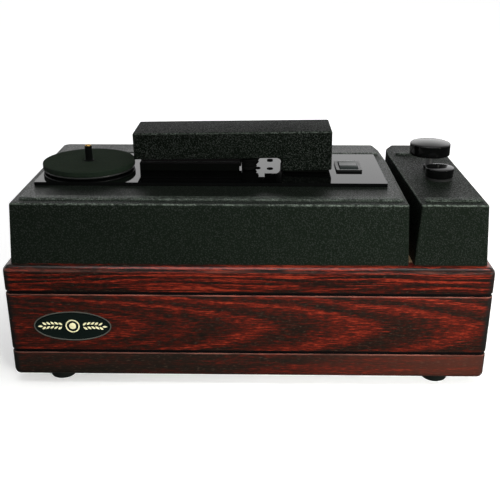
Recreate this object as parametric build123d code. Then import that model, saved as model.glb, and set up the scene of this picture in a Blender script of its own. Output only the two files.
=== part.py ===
from build123d import *
import math
import os

# Record cleaning machine: wooden cabinet, two formed covers, gloss deck with a small
# platter, a tilting vacuum head, a rocker switch, a fluid pump and a filler cap.
# Frame: +X to the right, +Y to the back, +Z up. Origin on the resting surface, under
# the middle of the cabinet. Millimetres.

os.makedirs("parts", exist_ok=True)

# ------------------------------------------------------------------ driving dimensions
# cabinet
cab_w = 442.4            # outside width
cab_d = 227.0            # outside depth
cab_h = 111.7            # height without the feet
board_t = 16.0           # cabinet board thickness
edge_r = 6.0             # radius of the outer edges
groove_h = 3.0           # height of the decorative grooves
groove_t = 3.0           # depth of the decorative grooves
groove_z = (26.65, 86.2)  # groove centres above the cabinet's bottom edge
shelf_t = 9.0            # plywood shelf under the covers
base_t = 6.0             # bottom panel
base_up = 2.0            # bottom panel's recess above the boards' lower edge
# feet
foot_h = 8.0
foot_d = 25.0
foot_x = 179.0
foot_y = 94.0
# badge
badge_w = 71.6
badge_h = 30.0
badge_t = 1.6
badge_x = -161.5
badge_z = 60.4
# covers
cover_h = 56.2           # height of both covers above the cabinet
cover_wall = 3.0
# outlines of both covers, counter-clockwise from the front-left corner: x, y, corner radius
main_foot = [(-214.4, -105.6, 2.0), (144.4, -105.6, 2.0), (144.4, 42.0, 0.0), (142.6, 85.0, 0.0),
             (138.6, 107.2, 3.0), (-214.2, 107.2, 7.0)]
main_top = [(-210.8, -102.4, 2.0), (141.3, -102.4, 2.0), (141.3, 42.0, 0.0), (139.3, 84.0, 0.0),
            (135.2, 106.2, 3.0), (-210.4, 106.2, 7.0)]
res_foot = [(148.9, -104.4, 2.0), (214.9, -104.4, 2.0), (213.4, 107.2, 12.0), (156.2, 107.2, 2.0),
            (147.9, 91.5, 2.0), (147.2, 68.0, 0.0)]
res_top = [(152.6, -101.3, 2.0), (211.3, -101.3, 2.0), (209.7, 106.5, 12.0), (156.6, 106.5, 2.0),
           (148.8, 91.0, 2.0), (147.9, 68.0, 0.0)]
bead_w = 11.0            # pressed beads on the cover tops
bead_h = 1.8
bead_yf, bead_yb = -88.6, 67.0
# deck plate
deck_x0, deck_x1 = -202.2, 129.7
deck_y0, deck_y1 = -50.1, 53.7
deck_t = 3.3
# platter and its drive
pl_x, pl_y = -159.4, -1.8
pl_r = 44.7
disc_gap = 1.3
disc_t = 1.7
mat_t = 5.2
spin_r = 3.55            # record spindle radius, for the usual 7.25 mm record hole
spin_h = 15.9            # spindle height above the mat
tip_h = 1.4              # brass end above the sleeve
shaft_r = 3.0
pul_r = 25.0
mot_r = 24.5
mot_x, mot_y = -100.0, -62.0
mot_pul_r = 8.0
run_fit = 0.05           # radial clearance of running fits
# vacuum lips
lip_x0, lip_x1 = -108.4, -10.4
lip_w = 16.0
lip_end = -8.4           # the lips and the top of the nozzle reach a little further
# head
hd_x0, hd_x1 = -111.9, 79.7
hd_y0, hd_y1 = -18.5, 33.7
hd_top = 221.1           # at the right-hand end
hd_low = 182.7           # underside of the deep right-hand part
hd_high = 195.1          # underside of the long left-hand part
hd_step = 31.0           # where the deep part starts
hd_wall = 2.5
hd_tilt = 0.85           # degrees, the shell rises towards the hinged end
hin_y, hin_z = 38.0, 183.5
hin_x0, hin_x1 = 35.0, 75.0
pin_r = 1.5
# switch
sw_x, sw_y = 97.6, 3.3
sw_w, sw_l, sw_b = 25.2, 32.0, 2.2
# pump and filler
pump_x, pump_y = 180.7, 17.5
knob_r = 19.85
knob_rim = 201.3         # height of the knob's upper edge, the top is a shallow dome
knob_dome = 1.9
knob_low = 190.0
stem_r = 3.2
collar_r, collar_h = 5.2, 2.7
stroke = 10.8
cap_x, cap_y = 183.3, -21.2
cap_r = 13.45
cap_rim = 187.2
cap_dome = 0.9
cap_bore = 183.6         # top of the space inside the cap
# vacuum blower
bl_x, bl_y = 75.0, -1.8
bl_r = 68.0

# levels
z0 = foot_h
zc = foot_h + cab_h                 # cabinet top, 119.7
zv = zc + cover_h                   # cover top, 175.9
zd = zv + deck_t                    # deck top, 179.2
zm = zd + disc_gap + disc_t + mat_t  # mat top, 187.4
zs = zc - shelf_t                   # shelf underside
zb = z0 + base_up + base_t          # inside floor


# ------------------------------------------------------------------ helpers
def box(x0, x1, y0, y1, za, zb_):
    return Pos((x0 + x1) / 2, (y0 + y1) / 2, (za + zb_) / 2) * Box(x1 - x0, y1 - y0, zb_ - za)


def cyl(x, y, za, zb_, r):
    return Pos(x, y, (za + zb_) / 2) * Cylinder(r, zb_ - za)


def cyl_x(y, z, xa, xb, r):
    return Pos((xa + xb) / 2, y, z) * Rot(0, 90, 0) * Cylinder(r, xb - xa)


def cyl_y(x, z, ya, yb, r):
    return Pos(x, (ya + yb) / 2, z) * Rot(90, 0, 0) * Cylinder(r, yb - ya)


def cone(x, y, za, zb_, ra, rb):
    return Pos(x, y, (za + zb_) / 2) * Cone(ra, rb, zb_ - za)


def dome(x, y, z_rim, r, h):
    """shallow spherical top on a round part"""
    big = (r * r + h * h) / (2 * h)
    return (Pos(x, y, z_rim + h - big) * Sphere(big)) & cyl(x, y, z_rim - 0.01, z_rim + h + 1, r)


def group(items):
    return Compound(children=list(items))


def save(shape, node):
    export_step(shape, "parts/" + node + ".step")


def screw_down(x, y, ztop, length, head_r, head_h, r):
    """countersunk screw, head flush at ztop, pointing down"""
    return cone(x, y, ztop - head_h, ztop, r, head_r) + cyl(x, y, ztop - length, ztop - head_h + 0.01, r)


def screw_up(x, y, zlow, length, head_r, head_h, r):
    """pan-head screw, head below zlow, pointing up"""
    return cyl(x, y, zlow - head_h, zlow, head_r) + cyl(x, y, zlow - 0.01, zlow + length, r)


def tube(points, radii, ro, ri):
    path = FilletPolyline(*points, radius=radii)
    start = Plane(origin=path @ 0, z_dir=path % 0)
    return sweep(start * (Circle(ro) - Circle(ri)), path=path)


# ------------------------------------------------------------------ cabinet
hw, hd = cab_w / 2, cab_d / 2
outer = box(-hw, hw, -hd, hd, z0, zc)
outer = fillet(outer.edges(), edge_r)
ring = outer - box(-hw + board_t, hw - board_t, -hd + board_t, hd - board_t, z0 - 1, zc + 1)
for gz in groove_z:
    band = box(-hw - 1, hw + 1, -hd - 1, hd + 1, z0 + gz - groove_h / 2, z0 + gz + groove_h / 2)
    band -= box(-hw + groove_t, hw - groove_t, -hd + groove_t, hd - groove_t, z0, zc)
    ring -= band


def mitre(sign_x, sign_y):
    """prism that holds one board between its two mitres"""
    big = 400
    if sign_x:
        s = sign_x
        pts = [(s * (hw - hd), 0), (s * (hw + big), hd + big), (s * (hw + big), -hd - big)]
    else:
        s = sign_y
        pts = [(-(hw - hd), 0), (hw - hd, 0), (hw + big, s * (hd + big)), (-hw - big, s * (hd + big))]
    f = make_face(Polyline(*pts, close=True))
    return extrude(Pos(0, 0, -10) * f, 200)


front_board = ring & mitre(0, -1)
back_board = ring & mitre(0, 1)
left_board = ring & mitre(-1, 0)
right_board = ring & mitre(1, 0)

save(left_board, "cabinet_left")
save(right_board, "cabinet_right")

# back board: mains inlet cut-out, exhaust slots, drain recess
in_x, in_z = 165.0, 56.0
ex_x, ex_z = 116.0, 83.6
dr_x, dr_z = -150.0, 30.0
back_board -= box(in_x - 16, in_x + 16, hd - board_t - 1, hd + 1, in_z - 12.5, in_z + 12.5)
back_board -= box(in_x - 26, in_x + 26, hd - 3, hd + 1, in_z - 14.5, in_z + 14.5)
for k in (-1, 0, 1):
    back_board -= box(ex_x - 17, ex_x + 17, hd - board_t - 1, hd + 1, ex_z + k * 6.2 - 2.1, ex_z + k * 6.2 + 2.1)
back_board -= cyl_y(dr_x, dr_z, hd - board_t - 1, hd + 1, 6.3)
back_board -= cyl_y(dr_x, dr_z, hd - 11, hd + 1, 14.0)
save(back_board, "cabinet_back")

# corner blocks glued inside the mitres
ix, iy = hw - board_t, hd - board_t
blocks = []
for sx in (-1, 1):
    for sy in (-1, 1):
        bx0, bx1 = sorted((sx * ix, sx * (ix - 18)))
        by0, by1 = sorted((sy * iy, sy * (iy - 18)))
        b = box(bx0, bx1, by0, by1, zb, zs)
        blocks.append(b)

# shelf that carries the covers
shelf = box(-ix, ix, -iy, iy, zs, zc)
vp_x = -35.0                       # where the vacuum pipe drops to the tank
duct_x = -60.0                     # where the lip duct drops to the tank
shelf -= cyl(bl_x, bl_y, zs - 1, zc + 1, 13.3)
shelf -= cyl(vp_x, bl_y, zs - 1, zc + 1, 13.3)
shelf -= cyl(duct_x, pl_y, zs - 1, zc + 1, 8.3)
cover_scr = [(-180, -90), (-180, 90), (126, -90), (118, 84), (-30, -92), (-30, 92),
             (158, -88), (181, -88), (158, 88), (181, 88)]
for (x, y) in cover_scr:
    shelf -= cyl(x, y, zs - 1, zc + 1, 2.1)
save(shelf, "shelf")

# bottom panel, with cooling holes under the blower motor
base = box(-ix, ix, -iy, iy, z0 + base_up, zb)
for i in range(6):
    a = i * math.pi / 3
    base -= cyl(bl_x + 22 * math.cos(a), bl_y + 22 * math.sin(a), 0, zb + 1, 4.0)
base -= cyl(bl_x, bl_y, 0, zb + 1, 5.0)
base_scr = [(-196, -88), (-196, 88), (196, -88), (196, 88)]
foot_pos = [(-foot_x, -foot_y), (foot_x, -foot_y), (-foot_x, foot_y), (foot_x, foot_y)]
for (x, y) in foot_pos:
    base -= cyl(x, y, 0, zb + 1, 2.1)
for (x, y) in base_scr:
    base -= cyl(x, y, 0, zb + 1, 2.1)
base -= group([cyl(x, y, 0, z0 + base_up, 3) for (x, y) in foot_pos])
save(base, "bottom_panel")

# feet: rubber, slightly tapered, with a recess for the screw head
feet, fscr = [], []
for (x, y) in foot_pos:
    f = cone(x, y, 0, z0, foot_d / 2 - 0.6, foot_d / 2)
    f = fillet(f.edges().sort_by(Axis.Z)[0], 1.0)
    f += cyl(x, y, z0 - 0.01, z0 + base_up, 3.3)
    f -= cyl(x, y, -1, 5.0, 4.2)
    f -= cyl(x, y, 4.9, z0 + base_up + 1, 2.1)
    feet.append(f)
    fscr.append(screw_up(x, y, 5.0, 10.8, 3.8, 2.0, 2.0))
save(group(feet), "feet")
# corner blocks take the bottom panel's screws
for (x, y) in base_scr:
    blocks = [b - cyl(x, y, zb - 1, zb + 12.5, 2.05) for b in blocks]
save(group(blocks), "corner_blocks")
wood_screws = fscr + [screw_up(x, y, z0 + base_up, 18.0, 3.6, 1.9, 2.0) for (x, y) in base_scr]

# oval badge: a plate with a raised rim
oval = Ellipse(badge_w / 2, badge_h / 2)
oval_in = Ellipse(badge_w / 2 - 1.4, badge_h / 2 - 1.4)
pb = Plane(origin=(badge_x, -hd, badge_z), x_dir=(1, 0, 0), z_dir=(0, -1, 0))
plate = extrude(pb * oval, badge_t) - extrude(pb.offset(badge_t - 0.35) * oval_in, 1)
# the badge is let into the front board, its rim level with the wood
seat = extrude(pb.offset(-(badge_t)) * Ellipse(badge_w / 2 + 0.15, badge_h / 2 + 0.15), badge_t + 1)
front_board -= seat
save(front_board, "cabinet_front")
badge = Pos(0, badge_t, 0) * plate
save(badge, "badge")


# ------------------------------------------------------------------ covers
def inset(pts, d):
    """outline moved inwards by d, corner radii reduced to suit"""
    out = []
    n = len(pts)
    for i in range(n):
        (ax, ay, _), (bx, by, r), (cx, cy, _) = pts[i - 1], pts[i], pts[(i + 1) % n]
        l1, l2 = math.hypot(bx - ax, by - ay), math.hypot(cx - bx, cy - by)
        n1 = (-(by - ay) / l1, (bx - ax) / l1)
        n2 = (-(cy - by) / l2, (cx - bx) / l2)
        k = d / (1 + n1[0] * n2[0] + n1[1] * n2[1])
        out.append((bx + (n1[0] + n2[0]) * k, by + (n1[1] + n2[1]) * k, max(r - d, 0.6) if r else 0.0))
    return out


def between(foot, top, t):
    return [(a[0] + (b[0] - a[0]) * t, a[1] + (b[1] - a[1]) * t, a[2] + (b[2] - a[2]) * t)
            for a, b in zip(foot, top)]


def formed(foot, top, z_a, z_b, top_r):
    """drafted block between two outlines"""
    def outline(pts, z):
        f = make_face(Polyline(*[(p[0], p[1]) for p in pts], close=True))
        for x, y, r in pts:
            if r:
                f = fillet(f.vertices().sort_by_distance((x, y))[0], r)
        return Pos(0, 0, z) * f
    s = loft([outline(foot, z_a), outline(top, z_b)], ruled=True)
    if top_r:
        s = fillet(s.faces().sort_by(Axis.Z)[-1].edges(), top_r)
    return s


def bead(xa, xb, y):
    s = extrude(Pos((xa + xb) / 2, y, zv - 0.2) * SlotOverall(xb - xa, bead_w), bead_h + 0.2)
    return fillet(s.faces().sort_by(Axis.Z)[-1].edges(), 1.6)


w = cover_wall
t_in = (cover_h - w) / cover_h       # level of the inner ceiling
main = formed(main_foot, main_top, zc, zv, 1.6)
main_in = formed(inset(main_foot, w), inset(between(main_foot, main_top, t_in), w), zc - 0.05, zv - w, 0)
main += bead(-206.0, 139.0, bead_yf) + bead(-206.0, 137.0, bead_yb)
main -= main_in
# bosses for the screws from below
for (x, y) in cover_scr[:6]:
    main += cyl(x, y, zc, zv - w + 0.5, 4.5) - cyl(x, y, zc - 1, zc + 16, 1.9)
# openings under the deck plate
sw_cut = box(sw_x - 11.2, sw_x + 11.2, sw_y - 15.0, sw_y + 15.0, zv - 5, zd + 1)
main -= cyl(pl_x, pl_y, zv - 5, zv + 1, 6.2)
main -= box(duct_x - 6, duct_x + 6, pl_y - 4, pl_y + 4, zv - 5, zv + 1)
main -= cyl(-1.8, pl_y, zv - 5, zv + 1, 4.2)
main -= cyl(20.2, 28.7, zv - 5, zv + 1, 2.7)
main -= sw_cut
deck_scr = [(20.0, -1.8), (7.6, 0.2)]
for (x, y) in deck_scr:
    main -= cyl(x, y, zv - 5, zv + 1, 1.7)
hin_scr = [(42.0, 46.5), (55.0, 46.5), (68.0, 46.5)]
for (x, y) in hin_scr:
    main -= cyl(x, y, zv - 5, zv + 1, 1.5)
# small passage for the fluid tube at the foot of the right wall
tube_z = 127.0
main -= cyl_x(pump_y, tube_z, 130, 150, 2.8)
save(main, "main_cover")

res = formed(res_foot, res_top, zc, zv, 1.6)
res_in = formed(inset(res_foot, w), inset(between(res_foot, res_top, t_in), w), zc - 0.05, zv - w, 0)
res += bead(156.0, 209.0, bead_yf) + bead(154.5, 209.0, bead_yb)
res -= res_in
for (x, y) in cover_scr[6:]:
    res += cyl(x, y, zc, zv - w + 0.5, 4.5) - cyl(x, y, zc - 1, zc + 16, 1.9)
res -= cyl(pump_x, pump_y, zv - 5, zv + 1, collar_r + 0.1)
res -= cyl(cap_x, cap_y, zv - 5, zv + 1, 10.1)
res -= cyl_x(pump_y, tube_z, 140, 158, 2.8)
save(res, "reservoir_cover")
wood_screws += [screw_up(x, y, zs, 24.0, 3.6, 2.0, 1.85) for (x, y) in cover_scr]
save(group(wood_screws), "wood_screws")

# ------------------------------------------------------------------ deck plate
deck = box(deck_x0, deck_x1, deck_y0, deck_y1, zv, zd)
deck -= cyl(pl_x, pl_y, zv - 1, zd + 1, 6.02)
deck -= box(duct_x - 6, duct_x + 6, pl_y - 4, pl_y + 4, zv - 1, zd + 1)
deck -= cyl(-1.8, pl_y, zv - 1, zd + 1, 4.0)
deck -= cyl(20.2, 28.7, zv - 1, zd + 1, 2.55)
deck -= sw_cut
for (x, y) in deck_scr:
    deck -= cyl(x, y, zv - 1, zd + 1, 1.65) + cone(x, y, zd - 1.5, zd + 0.01, 1.65, 3.05)
for (x, y) in hin_scr:
    deck -= cyl(x, y, zv - 1, zd + 1, 1.45)
save(deck, "deck_plate")
save(group([screw_down(x, y, zd, 8.0, 3.0, 1.5, 1.6) for (x, y) in deck_scr]), "deck_screws")

# ------------------------------------------------------------------ platter
z1 = zd + disc_gap
disc = cyl(pl_x, pl_y, z1, z1 + disc_t, pl_r - 0.4) - cyl(pl_x, pl_y, z1 - 1, z1 + 5, shaft_r)
disc += cyl(pl_x, pl_y, z1 - 0.9, z1 + 0.01, 9.0) - cyl(pl_x, pl_y, z1 - 2, z1 + 1, shaft_r)
save(disc, "platter_disc")
mat = cyl(pl_x, pl_y, z1 + disc_t, zm, pl_r)
mat = fillet(mat.edges(), 0.8)
mat -= cyl(pl_x, pl_y, z1, zm + 1, spin_r + 1.9)
save(mat, "platter_mat")
# spindle: sleeve with a small washer at its foot, brass tip above
sl_top = zm + spin_h - tip_h
sleeve = cyl(pl_x, pl_y, zm - 1.0, sl_top, spin_r)
sleeve += cyl(pl_x, pl_y, z1 + disc_t, zm - 0.99, spin_r + 1.7)
sleeve += cone(pl_x, pl_y, zm - 1.0, zm + 0.8, spin_r + 1.7, spin_r + 0.4)
sleeve -= cyl(pl_x, pl_y, z1, sl_top + 1, shaft_r)
save(sleeve, "spindle_sleeve")
tip = cyl(pl_x, pl_y, sl_top, zm + spin_h, shaft_r + 0.1)
tip = fillet(tip.faces().sort_by(Axis.Z)[-1].edges(), 1.2)
save(tip, "spindle_tip")
pshaft = cyl(pl_x, pl_y, 136.0, sl_top, shaft_r)
pshaft -= (cyl(pl_x, pl_y, 149.4, 150.4, shaft_r + 1) - cyl(pl_x, pl_y, 149, 151, shaft_r - 0.6))
save(pshaft, "platter_shaft")
bush = cyl(pl_x, pl_y, 152.0, zd, 6.0) + cyl(pl_x, pl_y, zv - w - 2.0, zv - w, 10.0)
bush -= cyl(pl_x, pl_y, 150, zd + 1, shaft_r + run_fit)
save(bush, "bearing_bush")
pp = cyl(pl_x, pl_y, 139.0, 147.0, pul_r) + cyl(pl_x, pl_y, 137.0, 148.8, 8.0)
pp += cyl(pl_x, pl_y, 138.2, 139.0, pul_r + 1.2)
pp -= cyl(pl_x, pl_y, 130, 150, shaft_r)
for i in range(5):
    a = i * 2 * math.pi / 5
    pp -= cyl(pl_x + 15.5 * math.cos(a), pl_y + 15.5 * math.sin(a), 130, 150, 4.5)
save(pp, "platter_pulley")
clip = cyl(pl_x, pl_y, 149.5, 150.3, 5.6) - cyl(pl_x, pl_y, 149, 151, shaft_r - 0.6)
clip -= box(pl_x - 1.4, pl_x + 1.4, pl_y, pl_y + 9, 149, 151)
save(clip, "shaft_clip")

# drive motor, bracket, pulley, belt
mb = box(mot_x - 32, mot_x + 32, mot_y - 27, mot_y + 27, zc, zc + 2.0)
mb -= cyl(mot_x, mot_y, zc - 1, zc + 3, 5.0)
mb_scr = [(mot_x - 28.5, mot_y - 23), (mot_x + 28.5, mot_y - 23),
          (mot_x - 28.5, mot_y + 23), (mot_x + 28.5, mot_y + 23)]
for (x, y) in mb_scr:
    mb -= cyl(x, y, zc - 1, zc + 3, 1.7)
save(mb, "motor_bracket")
can = cyl(mot_x, mot_y, zc + 2.0, zc + 18.0, mot_r)
can = fillet(can.edges(), 1.2)
can -= cyl(mot_x, mot_y, zc + 6.0, zc + 19, 2.0 + run_fit)
save(can, "drive_motor")
ms = cyl(mot_x, mot_y, zc + 7.0, 147.0, 2.0)
save(ms, "motor_shaft")
mp = cyl(mot_x, mot_y, 139.0, 147.0, mot_pul_r) + cyl(mot_x, mot_y, 138.2, 139.0, mot_pul_r + 1.2)
mp -= cyl(mot_x, mot_y, 130, 150, 2.0)
save(mp, "motor_pulley")


def belt_loop(extra):
    """outline round both pulleys, at a distance from each"""
    ra, rb = pul_r + extra, mot_pul_r + extra
    dx, dy = mot_x - pl_x, mot_y - pl_y
    dist = math.hypot(dx, dy)
    base_a = math.atan2(dy, dx)
    al = math.acos((ra - rb) / dist)
    pts = []
    for s in (1, -1):
        a = base_a + s * al
        pts.append(((pl_x + ra * math.cos(a), pl_y + ra * math.sin(a)),
                    (mot_x + rb * math.cos(a), mot_y + rb * math.sin(a))))
    (p1, q1), (p2, q2) = pts
    far_a = (pl_x - ra * math.cos(base_a), pl_y - ra * math.sin(base_a))
    far_b = (mot_x + rb * math.cos(base_a), mot_y + rb * math.sin(base_a))
    loop = [Line(p1, q1), ThreePointArc(q1, far_b, q2), Line(q2, p2), ThreePointArc(p2, far_a, p1)]
    return make_face(Wire(loop))


belt = extrude(Pos(0, 0, 140.5) * (belt_loop(1.3) - belt_loop(0.3)), 5.0)
save(belt, "drive_belt")
small_screws = [cyl(x, y, zc + 2.0, zc + 3.8, 3.0) + cyl(x, y, zc - 5, zc + 2.01, 1.6)
                for (x, y) in mb_scr]
# the shelf takes those screws
for (x, y) in mb_scr:
    shelf -= cyl(x, y, zc - 6, zc + 1, 1.65)
save(shelf, "shelf")

# ------------------------------------------------------------------ lower lips and ducts
yl0, yl1 = pl_y - lip_w / 2, pl_y + lip_w / 2
low = box(lip_x0, lip_x1, yl0, yl1, zd, zm - 1.3)
low = fillet(low.edges().filter_by(Axis.Z), 2.0)
low += box(lip_x1 - 4, lip_end, yl0 + 0.6, yl1 - 0.6, 183.6, zm - 1.3)
low -= box(lip_x0 + 3, lip_x1 - 3, pl_y - 4.5, pl_y + 4.5, zd - 1, zm - 3.3)
low -= box(lip_x0 + 3, lip_x1 - 3, pl_y - 1.0, pl_y + 1.0, zd, zm)
save(low, "lower_nozzle")
lips = [box(lip_x0 + 0.5, lip_end, pl_y - 7.4, pl_y - 1.4, zm - 1.3, zm),
        box(lip_x0 + 0.5, lip_end, pl_y + 1.4, pl_y + 7.4, zm - 1.3, zm)]
lips = [fillet(b.faces().sort_by(Axis.Z)[-1].edges().filter_by(Axis.X), 0.9) for b in lips]
save(group(lips), "lower_lips")

# manifold under the deck: takes the lower nozzle and the head's port
man = box(duct_x - 8, 5.5, pl_y - 8, pl_y + 8, 162.0, zv - w)
man -= box(duct_x - 6, 3.5, pl_y - 6, pl_y + 6, 164.0, zv - w - 2.0)
man -= box(duct_x - 6, duct_x + 6, pl_y - 4, pl_y + 4, zv - w - 3, zv + 1)
man -= cyl(-1.8, pl_y, zv - w - 3, zv + 1, 4.0)
man -= cyl(duct_x, pl_y, 160, 165, 6.0)
drop = cyl(duct_x, pl_y, 70.0, 162.01, 8.0) - cyl(duct_x, pl_y, 69, 163, 6.0)
save(man + drop, "vacuum_manifold")

# waste tank on the bottom panel
tk_x0, tk_x1, tk_y0, tk_y1, tk_z1 = -190.0, -15.0, -70.0, 70.0, 70.0
tank = box(tk_x0, tk_x1, tk_y0, tk_y1, zb, tk_z1)
tank = fillet(tank.edges().filter_by(Axis.Z), 8.0)
tin = box(tk_x0 + 2.5, tk_x1 - 2.5, tk_y0 + 2.5, tk_y1 - 2.5, zb + 2.5, tk_z1 - 2.5)
tin = fillet(tin.edges().filter_by(Axis.Z), 6.0)
tank -= tin
tank -= cyl(duct_x, pl_y, 60, 71, 6.0)
tank -= cyl(vp_x, bl_y, 60, 71, 10.5)
tank -= cyl_y(dr_x, dr_z, 60, 72, 4.0)
spig = cyl_y(dr_x, dr_z, tk_y1 - 0.5, hd - 4.0, 6.0) - cyl_y(dr_x, dr_z, 60, hd, 4.0)
save(tank + spig, "waste_tank")
dcap = cyl_y(dr_x, dr_z, hd - 9.0, hd - 2.2, 8.5)
dcap = fillet(dcap.faces().sort_by(Axis.Y)[-1].edges(), 1.0)
grip = box(dr_x - 1.5, dr_x + 1.5, hd - 2.3, hd - 0.3, dr_z - 6.5, dr_z + 6.5)
dcap += fillet(grip.edges().filter_by(Axis.Y), 0.8)
dcap -= cyl_y(dr_x, dr_z, hd - 10, hd - 3.6, 6.05)
save(dcap, "drain_cap")

# vacuum pipe from the tank to the blower
vpipe = tube([(vp_x, bl_y, tk_z1), (vp_x, bl_y, 145.0), (bl_x, bl_y, 145.0), (bl_x, bl_y, zs)],
             22.0, 13.0, 10.8)
save(vpipe, "vacuum_pipe")

# ------------------------------------------------------------------ blower
case_z0, case_z1 = 70.0, zs
case = cyl(bl_x, bl_y, case_z0, case_z1, bl_r)
case = fillet(case.edges(), 3.0)
case += box(ex_x - 21, ex_x + 21, bl_y, hd - board_t, case_z0 + 2.5, case_z1 - 6)
case -= cyl(bl_x, bl_y, case_z0 + 2.5, case_z1 - 2.5, bl_r - 2.5)
case -= box(ex_x - 18.5, ex_x + 18.5, bl_y + 30, hd - board_t + 1, case_z0 + 5.0, case_z1 - 8.5)
case -= cyl(bl_x, bl_y, case_z1 - 5, case_z1 + 1, 18.0)
case -= cyl(bl_x, bl_y, case_z0 - 1, case_z0 + 5, 8.0)
save(case, "blower_case")
bmot = cyl(bl_x, bl_y, 24.0, case_z0, 42.0)
bmot = fillet(bmot.edges().sort_by(Axis.Z)[0], 4.0)
bmot -= cyl(bl_x, bl_y, 30.0, case_z0 + 1, 4.0 + run_fit)
for i in range(8):
    a = (i + 0.5) * math.pi / 4
    bmot -= cyl(bl_x + 30 * math.cos(a), bl_y + 30 * math.sin(a), 20, 34, 5.0)
save(bmot, "blower_motor")
bsh = cyl(bl_x, bl_y, 31.0, 101.0, 4.0)
save(bsh, "blower_shaft")
imp = cyl(bl_x, bl_y, 78.0, 80.0, 56.0) + cyl(bl_x, bl_y, 80.0, 98.0, 10.0)
for i in range(9):
    blade = Pos(33.0, 0, 0) * Rot(0, 0, 20) * Box(44.0, 1.8, 18.0)
    imp += Pos(bl_x, bl_y, 88.9) * Rot(0, 0, i * 40) * blade
imp -= cyl(bl_x, bl_y, 70, 105, 4.0)
save(imp, "impeller")
# ------------------------------------------------------------------ head
shell = box(hd_x0, hd_x1, hd_y0, hd_y1, hd_low, hd_top)
cutx = hd_step
shell -= box(hd_x0 - 5, cutx, hd_y0 - 5, hd_y1 + 5, hd_low - 5, hd_high)
inner_corner = [e for e in shell.edges().filter_by(Axis.Y)
                if abs(e.center().X - cutx) < 0.01 and abs(e.center().Z - hd_high) < 0.01]
shell = fillet(inner_corner, 5.0)
shell = fillet(shell.edges().filter_by(Axis.Z), 2.2)
shell = fillet(shell.faces().sort_by(Axis.Z)[-1].edges(), 1.6)
low_edges = [e for e in shell.edges() if abs(e.center().Z - hd_low) < 0.01]
shell = chamfer(low_edges, 1.2)
hollow = box(hd_x0 + hd_wall, hd_x1 - hd_wall, hd_y0 + hd_wall, hd_y1 - hd_wall, hd_high - 0.5,
             hd_top - hd_wall)
hollow += box(cutx + hd_wall + 3.0, hd_x1 - hd_wall, hd_y0 + hd_wall, hd_y1 - hd_wall, hd_low + 2.5,
              hd_high)
shell -= hollow
shell -= box(8.5, 15.0, hd_y1 - hd_wall - 0.5, hd_y1 + 1, hd_high - 1, 199.5)   # notch in the back wall
pivot = Pos(hd_x1, 0, hd_low) * Rot(0, -hd_tilt, 0) * Pos(-hd_x1, 0, -hd_low)
housing = pivot * shell
mscr = [(47.0, 194.0), (63.0, 194.0)]
for (x, z) in mscr:
    housing -= cyl_y(x, z, hd_y1 - 4, hd_y1 + 2, 1.45)
save(housing, "head_housing")

# closing plate inside the long part of the head
cp = box(hd_x0 + hd_wall + 0.2, cutx - 3.0, hd_y0 + hd_wall + 0.2, hd_y1 - hd_wall - 0.2,
         hd_high + 1.0, hd_high + 3.0)
cp -= box(8.9, 15.0, 2.0, hd_y1, hd_high, hd_high + 4.0)
cp = pivot * cp

# upper nozzle and lips, level with the record
un_z0, un_z1 = 191.0, 205.0
un = box(-107.4, 8.0, yl0, yl1, un_z0, un_z1)
un = fillet(un.edges().filter_by(Axis.Z), 2.0) + cp
un -= box(-104.9, 5.5, pl_y - 5.5, pl_y + 5.5, un_z0 + 3.0, un_z1 - 2.0)
un -= box(-104.9, lip_x1 - 3, pl_y - 1.0, pl_y + 1.0, un_z0 - 1, un_z0 + 4)
un -= cyl(-1.8, pl_y, un_z0 - 1, un_z0 + 4, 4.0)
save(un, "upper_nozzle")
ul_z0 = zm + 0.7
ulips = [box(lip_x0 + 1.5, lip_end, pl_y - 7.4, pl_y - 1.4, ul_z0, un_z0),
         box(lip_x0 + 1.5, lip_end, pl_y + 1.4, pl_y + 7.4, ul_z0, un_z0)]
ulips = [fillet(b.faces().sort_by(Axis.Z)[0].edges().filter_by(Axis.X), 0.9) for b in ulips]
save(group(ulips), "upper_lips")
# rubber boot that lands on the deck round the port
b_top = Pos(-1.3, pl_y, un_z0) * Circle(11.4)
b_mid = Pos(-1.4, pl_y, zd + 4.3) * Circle(9.2)
b_low = Pos(-1.45, pl_y, zd + 0.35) * Circle(7.0)
boot = loft([b_low, b_mid], ruled=True) + loft([b_mid, b_top], ruled=True)
boot -= cyl(-1.8, pl_y, zd, un_z0 + 1, 3.6)
boot -= box(-20.0, lip_end + 0.4, pl_y - 15, pl_y + 15, zd, un_z0 + 1)   # clear of the lips' end and of the record's rim
save(boot, "head_boot")
# wedge pad under the deep part
t_ = math.tan(math.radians(hd_tilt))
px0, px1 = hd_step + 2.6, hd_x1 - 3.0
pz0, pz1 = hd_low - (hd_x1 - px0) * t_, hd_low - (hd_x1 - px1) * t_
pf = make_face(Polyline((px0, zd + 0.35), (px1, zd + 0.35), (px1, pz1), (px0, pz0), close=True))
pad = extrude(Plane.XZ * pf, -(hd_y1 - hd_y0 - 6.0))
pad = Pos(0, hd_y0 + 3.0, 0) * pad
save(pad, "head_pad")

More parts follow.
